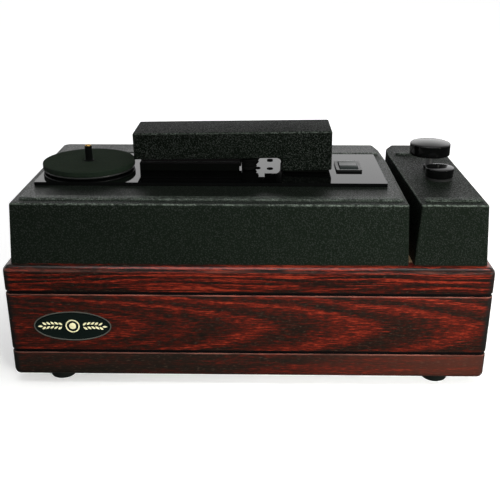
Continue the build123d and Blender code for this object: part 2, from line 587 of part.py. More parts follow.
# hinge behind the deep part: fixed leaf on the deck, moving leaf on the shell, pin
kn = 3.0
gap = 0.4
n = 5
seg = (hin_x1 - hin_x0) / n
fixed = box(hin_x0, hin_x1, hin_y + 1.0, hin_y + 12.5, zd, zd + 1.5)
moving = box(hin_x0 + seg + gap, hin_x1 - seg - gap, hd_y1, hd_y1 + 1.5, hin_z + 0.5, hin_z + 15.0)
for i in range(n):
    xa, xb = hin_x0 + i * seg, hin_x0 + (i + 1) * seg
    if i % 2 == 0:
        xa, xb = xa + (gap / 2 if i else 0), xb - (gap / 2 if i < n - 1 else 0)
        fixed += cyl_x(hin_y, hin_z, xa, xb, kn)
        fixed += box(xa, xb, hin_y - 0.5, hin_y + 2.6, zd, hin_z)
    else:
        xa, xb = xa + gap / 2, xb - gap / 2
        moving += cyl_x(hin_y, hin_z, xa, xb, kn)
        moving += box(xa, xb, hd_y1, hin_y, hin_z + 0.3, hin_z + 3.0)
# the moving leaf leaves the middle fixed knuckle free
mid0, mid1 = hin_x0 + 2 * seg - gap, hin_x0 + 3 * seg + gap
moving -= box(mid0, mid1, hd_y1 - 1, hin_y + 6, hin_z - 5, hin_z + 3.8)
moving = moving - cyl_x(hin_y, hin_z, hin_x0 - 1, hin_x1 + 1, pin_r + run_fit)
fixed = fixed - cyl_x(hin_y, hin_z, hin_x0 - 1, hin_x1 + 1, pin_r)
for (x, y) in hin_scr:
    fixed -= cyl(x, y, zd - 1, zd + 3, 1.5)
for (x, z) in mscr:
    moving -= cyl_y(x, z, hd_y1 - 1, hd_y1 + 3, 1.5)
# the moving knuckles need room above the fixed leaf
for i in (1, 3):
    xa, xb = hin_x0 + i * seg - 0.2, hin_x0 + (i + 1) * seg + 0.2
    fixed -= cyl_x(hin_y, hin_z, xa, xb, kn + 0.4)
save(fixed, "hinge_leaf_fixed")
save(moving, "hinge_leaf_moving")
pin = cyl_x(hin_y, hin_z, hin_x0 - 0.6, hin_x1 + 0.6, pin_r)
save(pin, "hinge_pin")
small_screws += [cyl(x, y, zd + 1.5, zd + 2.6, 2.6) + cyl(x, y, zv - 4.0, zd + 1.51, 1.4)
                 for (x, y) in hin_scr]
save(group([cyl_y(x, z, hd_y1 + 1.5, hd_y1 + 2.6, 2.6) + cyl_y(x, z, hd_y1 - 2.4, hd_y1 + 1.51, 1.4)
            for (x, z) in mscr]), "hinge_screws")

# ------------------------------------------------------------------ rocker switch
bez = box(sw_x - sw_w / 2, sw_x + sw_w / 2, sw_y - sw_l / 2, sw_y + sw_l / 2, zd, zd + sw_b)
bez = fillet(bez.edges().filter_by(Axis.Z), 1.2)
bez = fillet(bez.faces().sort_by(Axis.Z)[-1].edges(), 0.6)
bez += box(sw_x - 11.0, sw_x + 11.0, sw_y - 14.8, sw_y + 14.8, 156.0, zd + 0.01)
rk_w, rk_l = 17.4, 25.6
rk_z = zd - 2.2                    # pivot height
bez -= box(sw_x - rk_w / 2 - 0.35, sw_x + rk_w / 2 + 0.35, sw_y - 13.9, sw_y + 13.9,
           zd - 9.0, zd + 5)
bez -= cyl_x(sw_y, rk_z, sw_x - 10.2, sw_x + 10.2, 1.0 + run_fit)
# rocker: two facets meeting at a shallow ridge, back end raised at rest
rk_pts = [(-rk_l / 2, zd + 1.0), (-11.0, zd + 1.75), (-8.5, zd + 2.45), (-5.5, zd + 2.98), (-2.5, zd + 3.25),
          (-0.4, zd + 3.32), (11.7, zd + 4.05), (12.4, zd + 0.4),
          (4.5, zd - 4.4), (-4.5, zd - 4.4), (-rk_l / 2 + 0.2, zd - 0.6)]
rf = make_face(Polyline(*[(sw_y + a, b) for (a, b) in rk_pts], close=True))
rocker = extrude(Pos(sw_x - rk_w / 2, 0, 0) * (Plane.YZ * rf), rk_w)
rocker = rocker + cyl_x(sw_y, rk_z, sw_x - 9.9, sw_x + 9.9, 1.0)
save(rocker, "switch_rocker")
blades = [box(sw_x + a - 3.2, sw_x + a + 3.2, sw_y + b - 0.4, sw_y + b + 0.4, 146.0, 156.01)
      for a in (-5.5, 5.5) for b in (-7.0, 7.0)]
for t in blades:
    bez += t
save(bez, "switch_body")

# ------------------------------------------------------------------ fluid tank, pump, filler
ft_x0, ft_x1, ft_y0, ft_y1 = 154.5, 206.0, -74.0, 70.0
ft_z0, ft_z1 = zc, 166.0
ft = box(ft_x0, ft_x1, ft_y0, ft_y1, ft_z0, ft_z1)
ft = fillet(ft.edges().filter_by(Axis.Z), 6.0)
fin = box(ft_x0 + 2, ft_x1 - 2, ft_y0 + 2, ft_y1 - 2, ft_z0 + 2, ft_z1 - 2)
fin = fillet(fin.edges().filter_by(Axis.Z), 4.0)
ft -= fin
ft -= cyl(pump_x, pump_y, ft_z1 - 5, ft_z1 + 1, 7.1)
ft -= cyl(cap_x, cap_y, ft_z1 - 5, ft_z1 + 1, 9.1)
ft -= cyl_x(pump_y, tube_z, ft_x0 - 1, ft_x0 + 5, 2.6)
save(ft, "fluid_tank")

# pump barrel stands in the tank, its collar comes up through the cover
br = cyl(pump_x, pump_y, ft_z0 + 2.0, zv - w, 7.0) + cyl(pump_x, pump_y, zv - w - 0.01, zv + collar_h, collar_r)
br = fillet(br.faces().sort_by(Axis.Z)[-1].edges(), 0.5)
br -= cyl(pump_x, pump_y, ft_z0 + 4.0, zv - 4.0, 5.5)
br -= cyl(pump_x, pump_y, zv - 5, zv + 5, stem_r + run_fit)
br -= cyl_x(pump_y, tube_z, pump_x - 9, pump_x, 1.6)
save(br, "pump_barrel")
kb = knob_low
knob = cyl(pump_x, pump_y, kb, knob_rim, knob_r)
knob = fillet(knob.faces().sort_by(Axis.Z)[0].edges(), 0.6)
knob += dome(pump_x, pump_y, knob_rim, knob_r, knob_dome)
knob -= cyl(pump_x, pump_y, kb - 1, kb + 7.0, stem_r)
save(knob, "pump_knob")
pis_z = 152.0
stem = cyl(pump_x, pump_y, pis_z, kb + 7.0, stem_r)
stem += cyl(pump_x, pump_y, pis_z - 5.0, pis_z + 0.01, 5.5 - run_fit)
save(stem, "pump_plunger")
# return spring under the piston
sp_z0, sp_z1 = ft_z0 + 9.6, pis_z - 5.6
hel = Helix(pitch=(sp_z1 - sp_z0) / 5.0, height=sp_z1 - sp_z0, radius=4.2)
spring = sweep(Plane(origin=hel @ 0, z_dir=hel % 0) * Circle(0.45), path=hel)
spring = Pos(pump_x, pump_y, sp_z0) * spring
save(spring, "pump_spring")
ftube = tube([(pump_x - 7.0, pump_y, tube_z), (125.0, pump_y, tube_z), (95.0, 28.7, tube_z),
              (20.2, 28.7, tube_z), (20.2, 28.7, zv - 6.0)], 12.0, 2.45, 1.5)
save(ftube, "fluid_tube")
fit_ = cyl(20.2, 28.7, zv - 6.0, zd, 2.5) + cyl(20.2, 28.7, zd, zd + 0.9, 3.0)
fit_ -= cyl(20.2, 28.7, zv - 7, zd + 2, 1.0)
save(fit_, "fluid_outlet")

neck = cyl(cap_x, cap_y, ft_z1 - 2.0, zv, 9.0) + cyl(cap_x, cap_y, zv, zv + 2.4, cap_r - 0.5)
neck += cyl(cap_x, cap_y, zv + 2.39, cap_bore - 0.3, 9.6)
neck -= cyl(cap_x, cap_y, ft_z1 - 5, cap_bore + 1, 7.0)
save(neck, "filler_neck")
fc = cyl(cap_x, cap_y, zv + 2.7, cap_rim, cap_r) + dome(cap_x, cap_y, cap_rim, cap_r, cap_dome)
fc -= cyl(cap_x, cap_y, zv, cap_bore, 9.6 + run_fit)
save(fc, "filler_cap")

# ------------------------------------------------------------------ mains inlet, terminal block
inl = box(in_x - 25, in_x + 25, hd - 3.0, hd - 0.5, in_z - 13.7, in_z + 13.7)
inl = fillet(inl.edges().filter_by(Axis.Y), 3.0)
inl += box(in_x - 13.8, in_x + 13.8, hd - 26.0, hd - 2.9, in_z - 10.2, in_z + 10.2)
inl -= box(in_x - 12.0, in_x + 12.0, hd - 17.5, hd + 1, in_z - 8.3, in_z + 8.3)
inl_scr = [(in_x - 20, in_z), (in_x + 20, in_z)]
for (x, z) in inl_scr:
    inl -= cyl_y(x, z, hd - 6, hd + 1, 1.7)
save(inl, "mains_inlet")
pins_ = [box(in_x + a - 1.0, in_x + a + 1.0, hd - 32.0, hd - 6.5, in_z + b - 2.0, in_z + b + 2.0)
         for (a, b) in ((-7, -2), (7, -2), (0, 3))]
inl_cut = inl
for p_ in pins_:
    inl_cut = inl_cut - p_
save(inl_cut, "mains_inlet")
save(group(pins_), "inlet_pins")
small_screws += [cyl_y(x, z, hd - 0.5, hd - 0.05, 2.7) + cyl_y(x, z, hd - 12.0, hd - 0.49, 1.6)
                 for (x, z) in inl_scr]
save(group(small_screws), "machine_screws")
for (x, z) in inl_scr:
    back_board -= cyl_y(x, z, hd - 13, hd + 1, 1.65)
save(back_board, "cabinet_back")
print("mat top", zm, "deck", zd, "cover top", zv)
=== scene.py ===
import math
import bpy
import bmesh
from mathutils import Matrix, Vector
from mathutils.geometry import delaunay_2d_cdt


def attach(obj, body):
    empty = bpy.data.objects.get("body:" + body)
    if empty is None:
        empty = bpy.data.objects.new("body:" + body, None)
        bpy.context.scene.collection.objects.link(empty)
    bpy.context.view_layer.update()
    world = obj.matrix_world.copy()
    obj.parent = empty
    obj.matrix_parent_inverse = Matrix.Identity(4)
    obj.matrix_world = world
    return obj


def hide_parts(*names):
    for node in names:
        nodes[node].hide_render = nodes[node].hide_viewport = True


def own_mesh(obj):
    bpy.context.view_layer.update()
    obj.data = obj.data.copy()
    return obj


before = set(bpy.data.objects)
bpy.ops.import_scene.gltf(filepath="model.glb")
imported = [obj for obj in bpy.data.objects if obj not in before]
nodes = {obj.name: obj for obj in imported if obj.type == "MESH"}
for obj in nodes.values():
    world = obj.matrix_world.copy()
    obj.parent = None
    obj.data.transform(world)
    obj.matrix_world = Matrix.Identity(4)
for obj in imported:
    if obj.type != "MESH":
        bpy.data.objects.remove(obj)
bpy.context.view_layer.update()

S = 0.001
sin, cos, rad = math.sin, math.cos, math.radians

# ---------------------------------------------------------------- sizes, millimetres
HW, HD = 221.2, 113.5            # cabinet half width and half depth
Z0, ZC, ZV, ZD, ZM = 8.0, 119.7, 175.9, 179.2, 187.4
BOARD, EDGE = 16.0, 6.0
DRAFT = math.tan(rad(3.15))
PLX, PLY = -159.4, -1.8
DUCT_X = -60.0
SWX, SWY = 97.6, 3.3
PUX, PUY = 180.7, 17.5
CPX, CPY = 183.3, -21.2
HX0, HX1, HY0, HY1 = -111.9, 79.7, -18.5, 33.7
HTOP, HLOW, HHIGH, HSTEP = 221.1, 182.7, 195.1, 31.0
HEAD_TILT = (Matrix.Translation((79.7 * S, 0, 182.7 * S)) @ Matrix.Rotation(rad(-0.85), 4, "Y")
             @ Matrix.Translation((-79.7 * S, 0, -182.7 * S)))


# ---------------------------------------------------------------- mesh helpers
class Shape:
    """Vertices in millimetres and faces with a material number."""

    def __init__(self):
        self.v, self.f, self.m = [], [], []

    def pts(self, points):
        i = len(self.v)
        self.v += [tuple(p) for p in points]
        return list(range(i, len(self.v)))

    def face(self, ids, mat=0):
        self.f.append(list(ids))
        self.m.append(mat)

    def band(self, a, b, mat=0, closed=True):
        n = len(a)
        for i in range(n if closed else n - 1):
            j = (i + 1) % n
            self.face((a[i], a[j], b[j], b[i]), mat)

    def skin(self, loops, mat=0, closed=True, mats=None):
        ids = [self.pts(l) for l in loops]
        for k in range(len(ids) - 1):
            self.band(ids[k], ids[k + 1], mats[k] if mats else mat, closed)
        return ids

    def fill(self, outer, holes=(), axes=(0, 1), mat=0):
        """Flat face with holes, triangulated."""
        loops = [list(outer)] + [list(h) for h in holes]
        ids = [i for l in loops for i in l]
        flat = [Vector((self.v[i][axes[0]], self.v[i][axes[1]])) for i in ids]
        edges, start = [], 0
        for l in loops:
            edges += [(start + i, start + (i + 1) % len(l)) for i in range(len(l))]
            start += len(l)
        co, _, tris, orig = delaunay_2d_cdt(flat, edges, [], 0, 1e-7)[:4]
        polys = [[Vector((self.v[i][axes[0]], self.v[i][axes[1]])) for i in l] for l in loops]
        for t in tris:
            c = sum((co[k] for k in t), Vector((0, 0))) / len(t)
            if inside(c, polys[0]) and not any(inside(c, p) for p in polys[1:]):
                self.face([ids[orig[k][0]] for k in t], mat)

    def box(self, x0, x1, y0, y1, z0, z1, mat=0):
        i = self.pts([(x, y, z) for z in (z0, z1) for y in (y0, y1) for x in (x0, x1)])
        for q in ((0, 1, 3, 2), (4, 5, 7, 6), (0, 1, 5, 4), (2, 3, 7, 6), (0, 2, 6, 4), (1, 3, 7, 5)):
            self.face([i[k] for k in q], mat)


def inside(p, poly):
    odd = False
    for i in range(len(poly)):
        a, b = poly[i], poly[i - 1]
        if (a[1] > p[1]) != (b[1] > p[1]) and p[0] < (b[0] - a[0]) * (p[1] - a[1]) / (b[1] - a[1]) + a[0]:
            odd = not odd
    return odd


def rrect(x0, x1, y0, y1, r, z, n=6):
    """Rounded rectangle, counter-clockwise from the front-left corner."""
    r = tuple(r) if isinstance(r, (tuple, list)) else (r,) * 4
    out = []
    for cx, cy, rr, a0 in ((x0, y0, r[0], 180), (x1, y0, r[1], 270), (x1, y1, r[2], 0), (x0, y1, r[3], 90)):
        mx = cx + rr * (1 if cx == x0 else -1)
        my = cy + rr * (1 if cy == y0 else -1)
        for k in range(n + 1):
            a = rad(a0 + 90 * k / n)
            out.append((mx + rr * cos(a), my + rr * sin(a), z))
    return out


def inset(pts, d):
    """Outline moved inwards by d, corner radii reduced to suit."""
    out = []
    for i, (bx, by, r) in enumerate(pts):
        ax, ay, _ = pts[i - 1]
        cx, cy, _ = pts[(i + 1) % len(pts)]
        l1, l2 = math.hypot(bx - ax, by - ay), math.hypot(cx - bx, cy - by)
        n1 = (-(by - ay) / l1, (bx - ax) / l1)
        n2 = (-(cy - by) / l2, (cx - bx) / l2)
        k = d / (1 + n1[0] * n2[0] + n1[1] * n2[1])
        out.append((bx + (n1[0] + n2[0]) * k, by + (n1[1] + n2[1]) * k, max(r - d, 0.5)))
    return out


def rpoly(pts, z, n=6):
    """Points of an outline whose corners are rounded by their own radius."""
    out = []
    for i, (bx, by, r) in enumerate(pts):
        ax, ay, _ = pts[i - 1]
        cx, cy, _ = pts[(i + 1) % len(pts)]
        l1, l2 = math.hypot(ax - bx, ay - by), math.hypot(cx - bx, cy - by)
        u = ((ax - bx) / l1, (ay - by) / l1)
        v = ((cx - bx) / l2, (cy - by) / l2)
        half = math.acos(max(-1.0, min(1.0, u[0] * v[0] + u[1] * v[1]))) / 2
        tan_len = min(r / math.tan(half), l1 * 0.45, l2 * 0.45)
        rr = tan_len * math.tan(half)
        w = (u[0] + v[0], u[1] + v[1])
        wl = math.hypot(*w) or 1.0
        mx, my = bx + w[0] / wl * rr / sin(half), by + w[1] / wl * rr / sin(half)
        p0 = (bx + u[0] * tan_len, by + u[1] * tan_len)
        p1 = (bx + v[0] * tan_len, by + v[1] * tan_len)
        a0 = math.atan2(p0[1] - my, p0[0] - mx)
        a1 = math.atan2(p1[1] - my, p1[0] - mx)
        while a1 < a0:
            a1 += 2 * math.pi
        for k in range(n + 1):
            a = a0 + (a1 - a0) * k / n
            out.append((mx + rr * cos(a), my + rr * sin(a), z))
    return out


def circle(cx, cy, r, z, n=32, a0=0.0):
    return [(cx + r * cos(a0 + 2 * math.pi * k / n), cy + r * sin(a0 + 2 * math.pi * k / n), z) for k in range(n)]


def arc(c, r, a0, a1, n):
    """Points (u, v) on an arc, degrees."""
    return [(c[0] + r * cos(rad(a0 + (a1 - a0) * k / n)), c[1] + r * sin(rad(a0 + (a1 - a0) * k / n)))
            for k in range(n + 1)]


def lathe(shape, cx, cy, profile, n=96, mats=None, closed=False):
    """Turned form from (radius, z) points. A point at radius 0 closes it."""
    loops = []
    for r, z in profile:
        loops.append([shape.pts([(cx, cy, z)])[0]] if r < 1e-6 else shape.pts(circle(cx, cy, r, z, n)))
    pairs = list(zip(loops, loops[1:])) + ([(loops[-1], loops[0])] if closed else [])
    for k, (a, b) in enumerate(pairs):
        mat = mats[k] if mats else 0
        if len(a) == 1 and len(b) == 1:
            continue
        if len(a) == 1 or len(b) == 1:
            tip, ring = (a[0], b) if len(a) == 1 else (b[0], a)
            for i in range(len(ring)):
                shape.face((ring[i], ring[(i + 1) % len(ring)], tip), mat)
        else:
            shape.band(a, b, mat)


def make(name, shape, body, stands_for=(), mats=(), angle=32, weld=0.002, matrix=None, bevel=0, seg=2):
    me = bpy.data.meshes.new(name)
    me.from_pydata([(x * S, y * S, z * S) for x, y, z in shape.v], [], shape.f)
    for m in mats:
        me.materials.append(m)
    for p, k in zip(me.polygons, shape.m):
        p.material_index = k
    bm = bmesh.new()
    bm.from_mesh(me)
    bmesh.ops.remove_doubles(bm, verts=bm.verts, dist=weld * S)
    bmesh.ops.dissolve_degenerate(bm, dist=1e-7, edges=bm.edges)
    bmesh.ops.recalc_face_normals(bm, faces=bm.faces)
    if bevel:
        sharp = [e for e in bm.edges if len(e.link_faces) == 2 and e.calc_face_angle(0) > rad(28)]
        bmesh.ops.bevel(bm, geom=sharp, offset=bevel * S, offset_type="OFFSET", segments=seg, profile=0.6,
                        affect="EDGES", clamp_overlap=True)
        bmesh.ops.recalc_face_normals(bm, faces=bm.faces)
    if matrix is not None:
        bm.transform(matrix)
    bm.to_mesh(me)
    bm.free()
    me.shade_smooth()
    me.set_sharp_from_angle(angle=rad(angle))
    o = bpy.data.objects.new(name, me)
    bpy.context.collection.objects.link(o)
    if body:
        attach(o, body)
    if stands_for:
        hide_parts(*stands_for)
    return o


def cut(obj, cutters, angle=32):
    """Takes the cutters away from obj for good."""
    for k, c in enumerate(cutters):
        mod = obj.modifiers.new("cut%d" % k, "BOOLEAN")
        mod.operation, mod.solver, mod.object = "DIFFERENCE", "EXACT", c
    bpy.context.view_layer.update()
    dg = bpy.context.evaluated_depsgraph_get()
    me = bpy.data.meshes.new_from_object(obj.evaluated_get(dg), depsgraph=dg)
    obj.modifiers.clear()
    old = obj.data
    obj.data = me
    bpy.data.meshes.remove(old)
    me.name = obj.name
    me.shade_smooth()
    me.set_sharp_from_angle(angle=rad(angle))
    for c in cutters:
        data = c.data
        bpy.data.objects.remove(c)
        bpy.data.meshes.remove(data)


def cutter(shape, mats=()):
    return make("cutter", shape, None, mats=mats)


# ---------------------------------------------------------------- material helpers
class Mat:
    def __init__(self, name):
        self.m = bpy.data.materials.new(name)
        self.m.use_nodes = True
        self.t = self.m.node_tree
        self.t.nodes.clear()
        self.out = self.t.nodes.new("ShaderNodeOutputMaterial")
        self.b = self.t.nodes.new("ShaderNodeBsdfPrincipled")
        self.t.links.new(self.b.outputs[0], self.out.inputs[0])
        self.co = self.t.nodes.new("ShaderNodeTexCoord").outputs["Object"]

    def put(self, socket, value):
        if isinstance(value, bpy.types.NodeSocket):
            self.t.links.new(value, socket)
        elif value is not None:
            if isinstance(value, tuple) and len(value) == 3 and socket.type == "RGBA":
                value = value + (1.0,)
            socket.default_value = value
        return socket

    def set(self, **kw):
        for k, v in kw.items():
            self.put(self.b.inputs[k.replace("_", " ")], v)
        return self

    def math(self, op, a, b=None, c=None, clamp=False):
        n = self.t.nodes.new("ShaderNodeMath")
        n.operation, n.use_clamp = op, clamp
        for i, v in enumerate((a, b, c)):
            self.put(n.inputs[i], v)
        return n.outputs[0]

    def xyz(self, co=None):
        n = self.t.nodes.new("ShaderNodeSeparateXYZ")
        self.put(n.inputs[0], co or self.co)
        return n.outputs[0], n.outputs[1], n.outputs[2]

    def vec(self, x, y, z):
        n = self.t.nodes.new("ShaderNodeCombineXYZ")
        for i, v in enumerate((x, y, z)):
            self.put(n.inputs[i], v)
        return n.outputs[0]

    def scaled(self, scale, shift=(0, 0, 0), co=None):
        n = self.t.nodes.new("ShaderNodeMapping")
        self.put(n.inputs["Vector"], co or self.co)
        n.inputs["Location"].default_value = shift
        n.inputs["Scale"].default_value = scale if isinstance(scale, tuple) else (scale,) * 3
        return n.outputs[0]

    def noise(self, scale, detail=2.0, rough=0.5, distort=0.0, shift=(0, 0, 0), co=None, colour=False):
        n = self.t.nodes.new("ShaderNodeTexNoise")
        self.put(n.inputs["Vector"], self.scaled(scale, shift, co))
        n.inputs["Scale"].default_value = 1.0
        n.inputs["Detail"].default_value = detail
        n.inputs["Roughness"].default_value = rough
        n.inputs["Distortion"].default_value = distort
        return n.outputs[1] if colour else n.outputs[0]

    def cells(self, scale, feature="F1", co=None, shift=(0, 0, 0), randomness=1.0):
        n = self.t.nodes.new("ShaderNodeTexVoronoi")
        n.feature = feature
        self.put(n.inputs["Vector"], self.scaled(scale, shift, co))
        n.inputs["Scale"].default_value = 1.0
        n.inputs["Randomness"].default_value = randomness
        return n.outputs["Distance"]

    def remap(self, v, a, b, c=0.0, d=1.0, smooth=False):
        n = self.t.nodes.new("ShaderNodeMapRange")
        n.clamp = True
        if smooth:
            n.interpolation_type = "SMOOTHSTEP"
        for i, x in enumerate((v, a, b, c, d)):
            self.put(n.inputs[i], x)
        return n.outputs[0]

    def ramp(self, v, stops, smooth=False):
        n = self.t.nodes.new("ShaderNodeValToRGB")
        if smooth:
            n.color_ramp.interpolation = "EASE"
        e = n.color_ramp.elements
        while len(e) < len(stops):
            e.new(0.5)
        for el, (pos, col) in zip(e, stops):
            el.position = pos
        for el, (pos, col) in zip(e, stops):
            el.color = (col + (1.0,)) if isinstance(col, tuple) else (col, col, col, 1.0)
        self.put(n.inputs[0], v)
        return n.outputs[0]

    def mix(self, f, a, b, mode="MIX"):
        n = self.t.nodes.new("ShaderNodeMix")
        n.data_type, n.blend_type = "RGBA", mode
        self.put(n.inputs[0], f)
        self.put(n.inputs[6], a)
        self.put(n.inputs[7], b)
        return n.outputs[2]

    def bump(self, height, distance, strength=1.0, normal=None):
        n = self.t.nodes.new("ShaderNodeBump")
        n.inputs["Strength"].default_value = strength
        n.inputs["Distance"].default_value = distance
        self.put(n.inputs["Height"], height)
        if normal is not None:
            self.put(n.inputs["Normal"], normal)
        return n.outputs[0]


# ---------------------------------------------------------------- materials
GROOVES = (34.65, 94.2)


def wood(name, axis, offset=0.0, mirror=1.0):
    """Red-stained open grain under a satin lacquer. axis: 0 where the board runs along X, 1 along Y."""
    m = Mat(name)
    x, y, z = m.xyz()
    along, deep = (x, y) if axis == 0 else (y, x)
    u = m.math("MULTIPLY_ADD", along, 1000.0 * mirror, offset)
    w = m.math("MULTIPLY", z, 1000.0)
    d = m.math("MULTIPLY", m.math("ABSOLUTE", deep), 1000.0)
    face = HD if axis == 0 else HW
    depth = m.math("SUBTRACT", face, d)              # 0 at the outer face, growing into the board
    co = m.vec(u, depth, w)                          # grain frame in millimetres
    # middle band: nested figure whose points lie along one line
    wob = m.noise((0.011, 0.02, 0.05), 2.0, 0.55, shift=(3.1, 0.0, 1.7), co=co)
    fine = m.noise((0.060, 0.1, 0.70), 3.0, 0.65, shift=(7.0, 0, 2.0), co=co)
    z1 = m.math("ADD", m.math("SUBTRACT", w, 61.0), m.math("MULTIPLY_ADD", wob, 9.0, -4.5))
    zu = m.math("MULTIPLY", m.math("MAXIMUM", z1, 0.0), 1.28)
    zl = m.math("MULTIPLY", m.math("MINIMUM", z1, 0.0), 1.0)
    zz = m.math("ADD", zu, zl)
    radius = m.math("ADD", m.math("MULTIPLY_ADD", u, 0.07, 54.27), m.math("MULTIPLY", depth, 0.8))
    f = m.math("SQRT", m.math("ADD", m.math("MULTIPLY", zz, zz), m.math("MULTIPLY", radius, radius)))
    f = m.math("ADD", f, m.math("MULTIPLY_ADD", fine, 5.4, -2.7))
    f01 = m.remap(f, 34.0, 90.0)
    tips = (37.6, 41.2, 44.6, 48.3, 51.5, 57.0, 63.9, 70.5, 77.0, 84.0)
    stops = [(0.0, 0.15)]
    for t in tips:
        p = (t - 34.0) / 56.0
        stops += [(p - 0.034, 0.14), (p + 0.004, 0.80), (p + 0.034, 0.56)]
    ring = m.ramp(f01, stops[:31])
    # top band: tight straight streaks
    wav = m.noise((0.006, 0.05, 0.03), 2.0, 0.5, shift=(0, 0, 9.0), co=co)
    zt = m.math("ADD", w, m.math("MULTIPLY_ADD", wav, 8.0, m.math("MULTIPLY", u, -0.008)))
    tight = m.noise((0.010, 0.12, 0.42), 3.0, 0.62, shift=(1.0, 0, 0), co=m.vec(u, depth, zt))
    tight = m.remap(tight, 0.40, 0.60)
    # bottom band: smoky, slanting a little
    zb = m.math("ADD", w, m.math("MULTIPLY", u, -0.035))
    smoke = m.noise((0.008, 0.06, 0.12), 3.0, 0.55, shift=(5.0, 0, 4.0), co=m.vec(u, depth, zb))
    smoke = m.remap(smoke, 0.30, 0.58, 1.0, 0.42)
    top_mask = m.remap(w, 93.6, 94.6)
    low_mask = m.remap(w, 34.2, 35.0)
    mid = m.mix(low_mask, smoke, ring)
    body = m.mix(top_mask, mid, tight)
    # fibres along the grain in every band
    streak = m.noise((0.034, 0.2, 0.62), 3.0, 0.65, shift=(2.0, 3.0, 5.0), co=co)
    fibre = m.noise((0.13, 0.4, 0.95), 2.0, 0.7, shift=(1.0, 6.0, 2.0), co=co)
    dark = m.math("ADD", m.math("MULTIPLY", body, 0.80),
                  m.math("ADD", m.math("MULTIPLY_ADD", streak, 1.10, -0.44),
                         m.math("MULTIPLY_ADD", fibre, 1.50, -0.78)), clamp=True)
    low = m.math("SUBTRACT", 1.0, low_mask)
    # painted shade: the bottom band darkens towards the left, where less light falls
    dark = m.math("ADD", dark, m.math("MULTIPLY", low, m.remap(u, -150.0, 150.0, 0.20, -0.06)), clamp=True)
    big = m.noise((0.006, 0.01, 0.012), 1.0, 0.5, shift=(11.0, 0, 3.0), co=co)
    dark = m.math("ADD", dark, m.math("MULTIPLY_ADD", big, 0.5, -0.25), clamp=True)
    col = m.ramp(dark, [(0.0, (0.215, 0.0250, 0.0110)), (0.14, (0.128, 0.0120, 0.0060)), (0.36, (0.050, 0.0058, 0.0034)),
                        (0.58, (0.0165, 0.0048, 0.0033)), (0.80, (0.0068, 0.0046, 0.0034)), (1.0, (0.0036, 0.0034, 0.0027))])
    # a brown tone below the top band, with more of it at the left of the bottom band as painted shade
    brown = m.math("MULTIPLY_ADD", m.math("SUBTRACT", 1.0, top_mask), 0.12, m.math("MULTIPLY", low, m.remap(u, -150.0, 150.0, 0.28, 0.04)))
    col = m.mix(brown, col, (0.0155, 0.0120, 0.0090))
    # open pores: short dashes
    pore = m.noise((0.11, 0.5, 2.6), 1.0, 0.5, shift=(9.0, 1.0, 4.0), co=co)
    pores = m.remap(pore, 0.60, 0.70)
    col = m.mix(m.math("MULTIPLY", pores, 0.75), col, (0.006, 0.004, 0.0035))
    # painted highlights: pale glints on pores in the dark rings
    pore_glint = m.noise((0.20, 0.5, 0.95), 2.0, 0.6, shift=(4.0, 8.0, 1.0), co=co)
    pore_glints = m.math("MULTIPLY", m.remap(pore_glint, 0.57, 0.68), m.remap(dark, 0.40, 0.85))
    col = m.mix(m.math("MULTIPLY", pore_glints, 0.22), col, (0.17, 0.105, 0.075))
    # painted shade darkens the rounded ends, and a painted highlight makes a paler line along the top moulded edge
    end = HW if axis == 0 else HD
    painted_end_shade = m.remap(m.math("ABSOLUTE", m.math("MULTIPLY", along, 1000.0)), end - 9.0, end - 3.0, smooth=True)
    col = m.mix(m.math("MULTIPLY", painted_end_shade, 0.86), col, (0.006, 0.0075, 0.0070))
    painted_top_edge_highlight = m.math("MULTIPLY", m.remap(m.noise((0.02, 0.2, 0.2), 2.0, 0.6, co=co), 0.45, 0.75),
                  m.remap(m.math("ABSOLUTE", m.math("SUBTRACT", w, 116.2)), 2.2, 0.6))
    col = m.mix(m.math("MULTIPLY", painted_top_edge_highlight, 0.5), col, (0.20, 0.055, 0.035))
    for g in GROOVES:                                # painted highlight: a paler line on the rounded arris under each groove
        line = m.math("MULTIPLY", m.remap(m.math("ABSOLUTE", m.math("SUBTRACT", w, g - 1.95)), 0.60, 0.30),
                      m.remap(m.noise((0.03, 0.2, 0.2), 2.0, 0.6, shift=(2.0, g, 0.0), co=co), 0.35, 0.60, 0.25, 1.0))
        col = m.mix(m.math("MULTIPLY", line, 0.55), col, (0.24, 0.09, 0.065))
    # the top band is darkened from the middle rightwards and, in front, painted light makes the right of the bottom
    # band redder
    top_g, low_g = max(GROOVES), min(GROOVES)
    over = m.math("MULTIPLY", m.remap(w, top_g - 0.5, top_g + 0.5), m.remap(u, -150.0, -60.0))
    col = m.mix(m.math("MULTIPLY", over, 0.25), col, (0.006, 0.004, 0.0035))
    if axis == 0 and mirror > 0:
        foot = m.math("MULTIPLY", m.remap(w, low_g + 0.5, low_g - 0.5), m.remap(u, 40.0, 190.0))
        col = m.mix(m.math("MULTIPLY", foot, 0.16), col, (0.20, 0.055, 0.035))
    height = m.math("SUBTRACT", m.math("MULTIPLY", fibre, 0.35), m.math("ADD", pores, m.math("MULTIPLY", dark, 0.25)))
    nrm = m.bump(height, 0.00010, 0.55)
    m.set(Base_Color=col, Roughness=m.remap(dark, 0.0, 1.0, 0.34, 0.46), Normal=nrm,
          Specular_IOR_Level=0.12, Coat_Weight=0.42, Coat_Roughness=0.11)
    return m.m


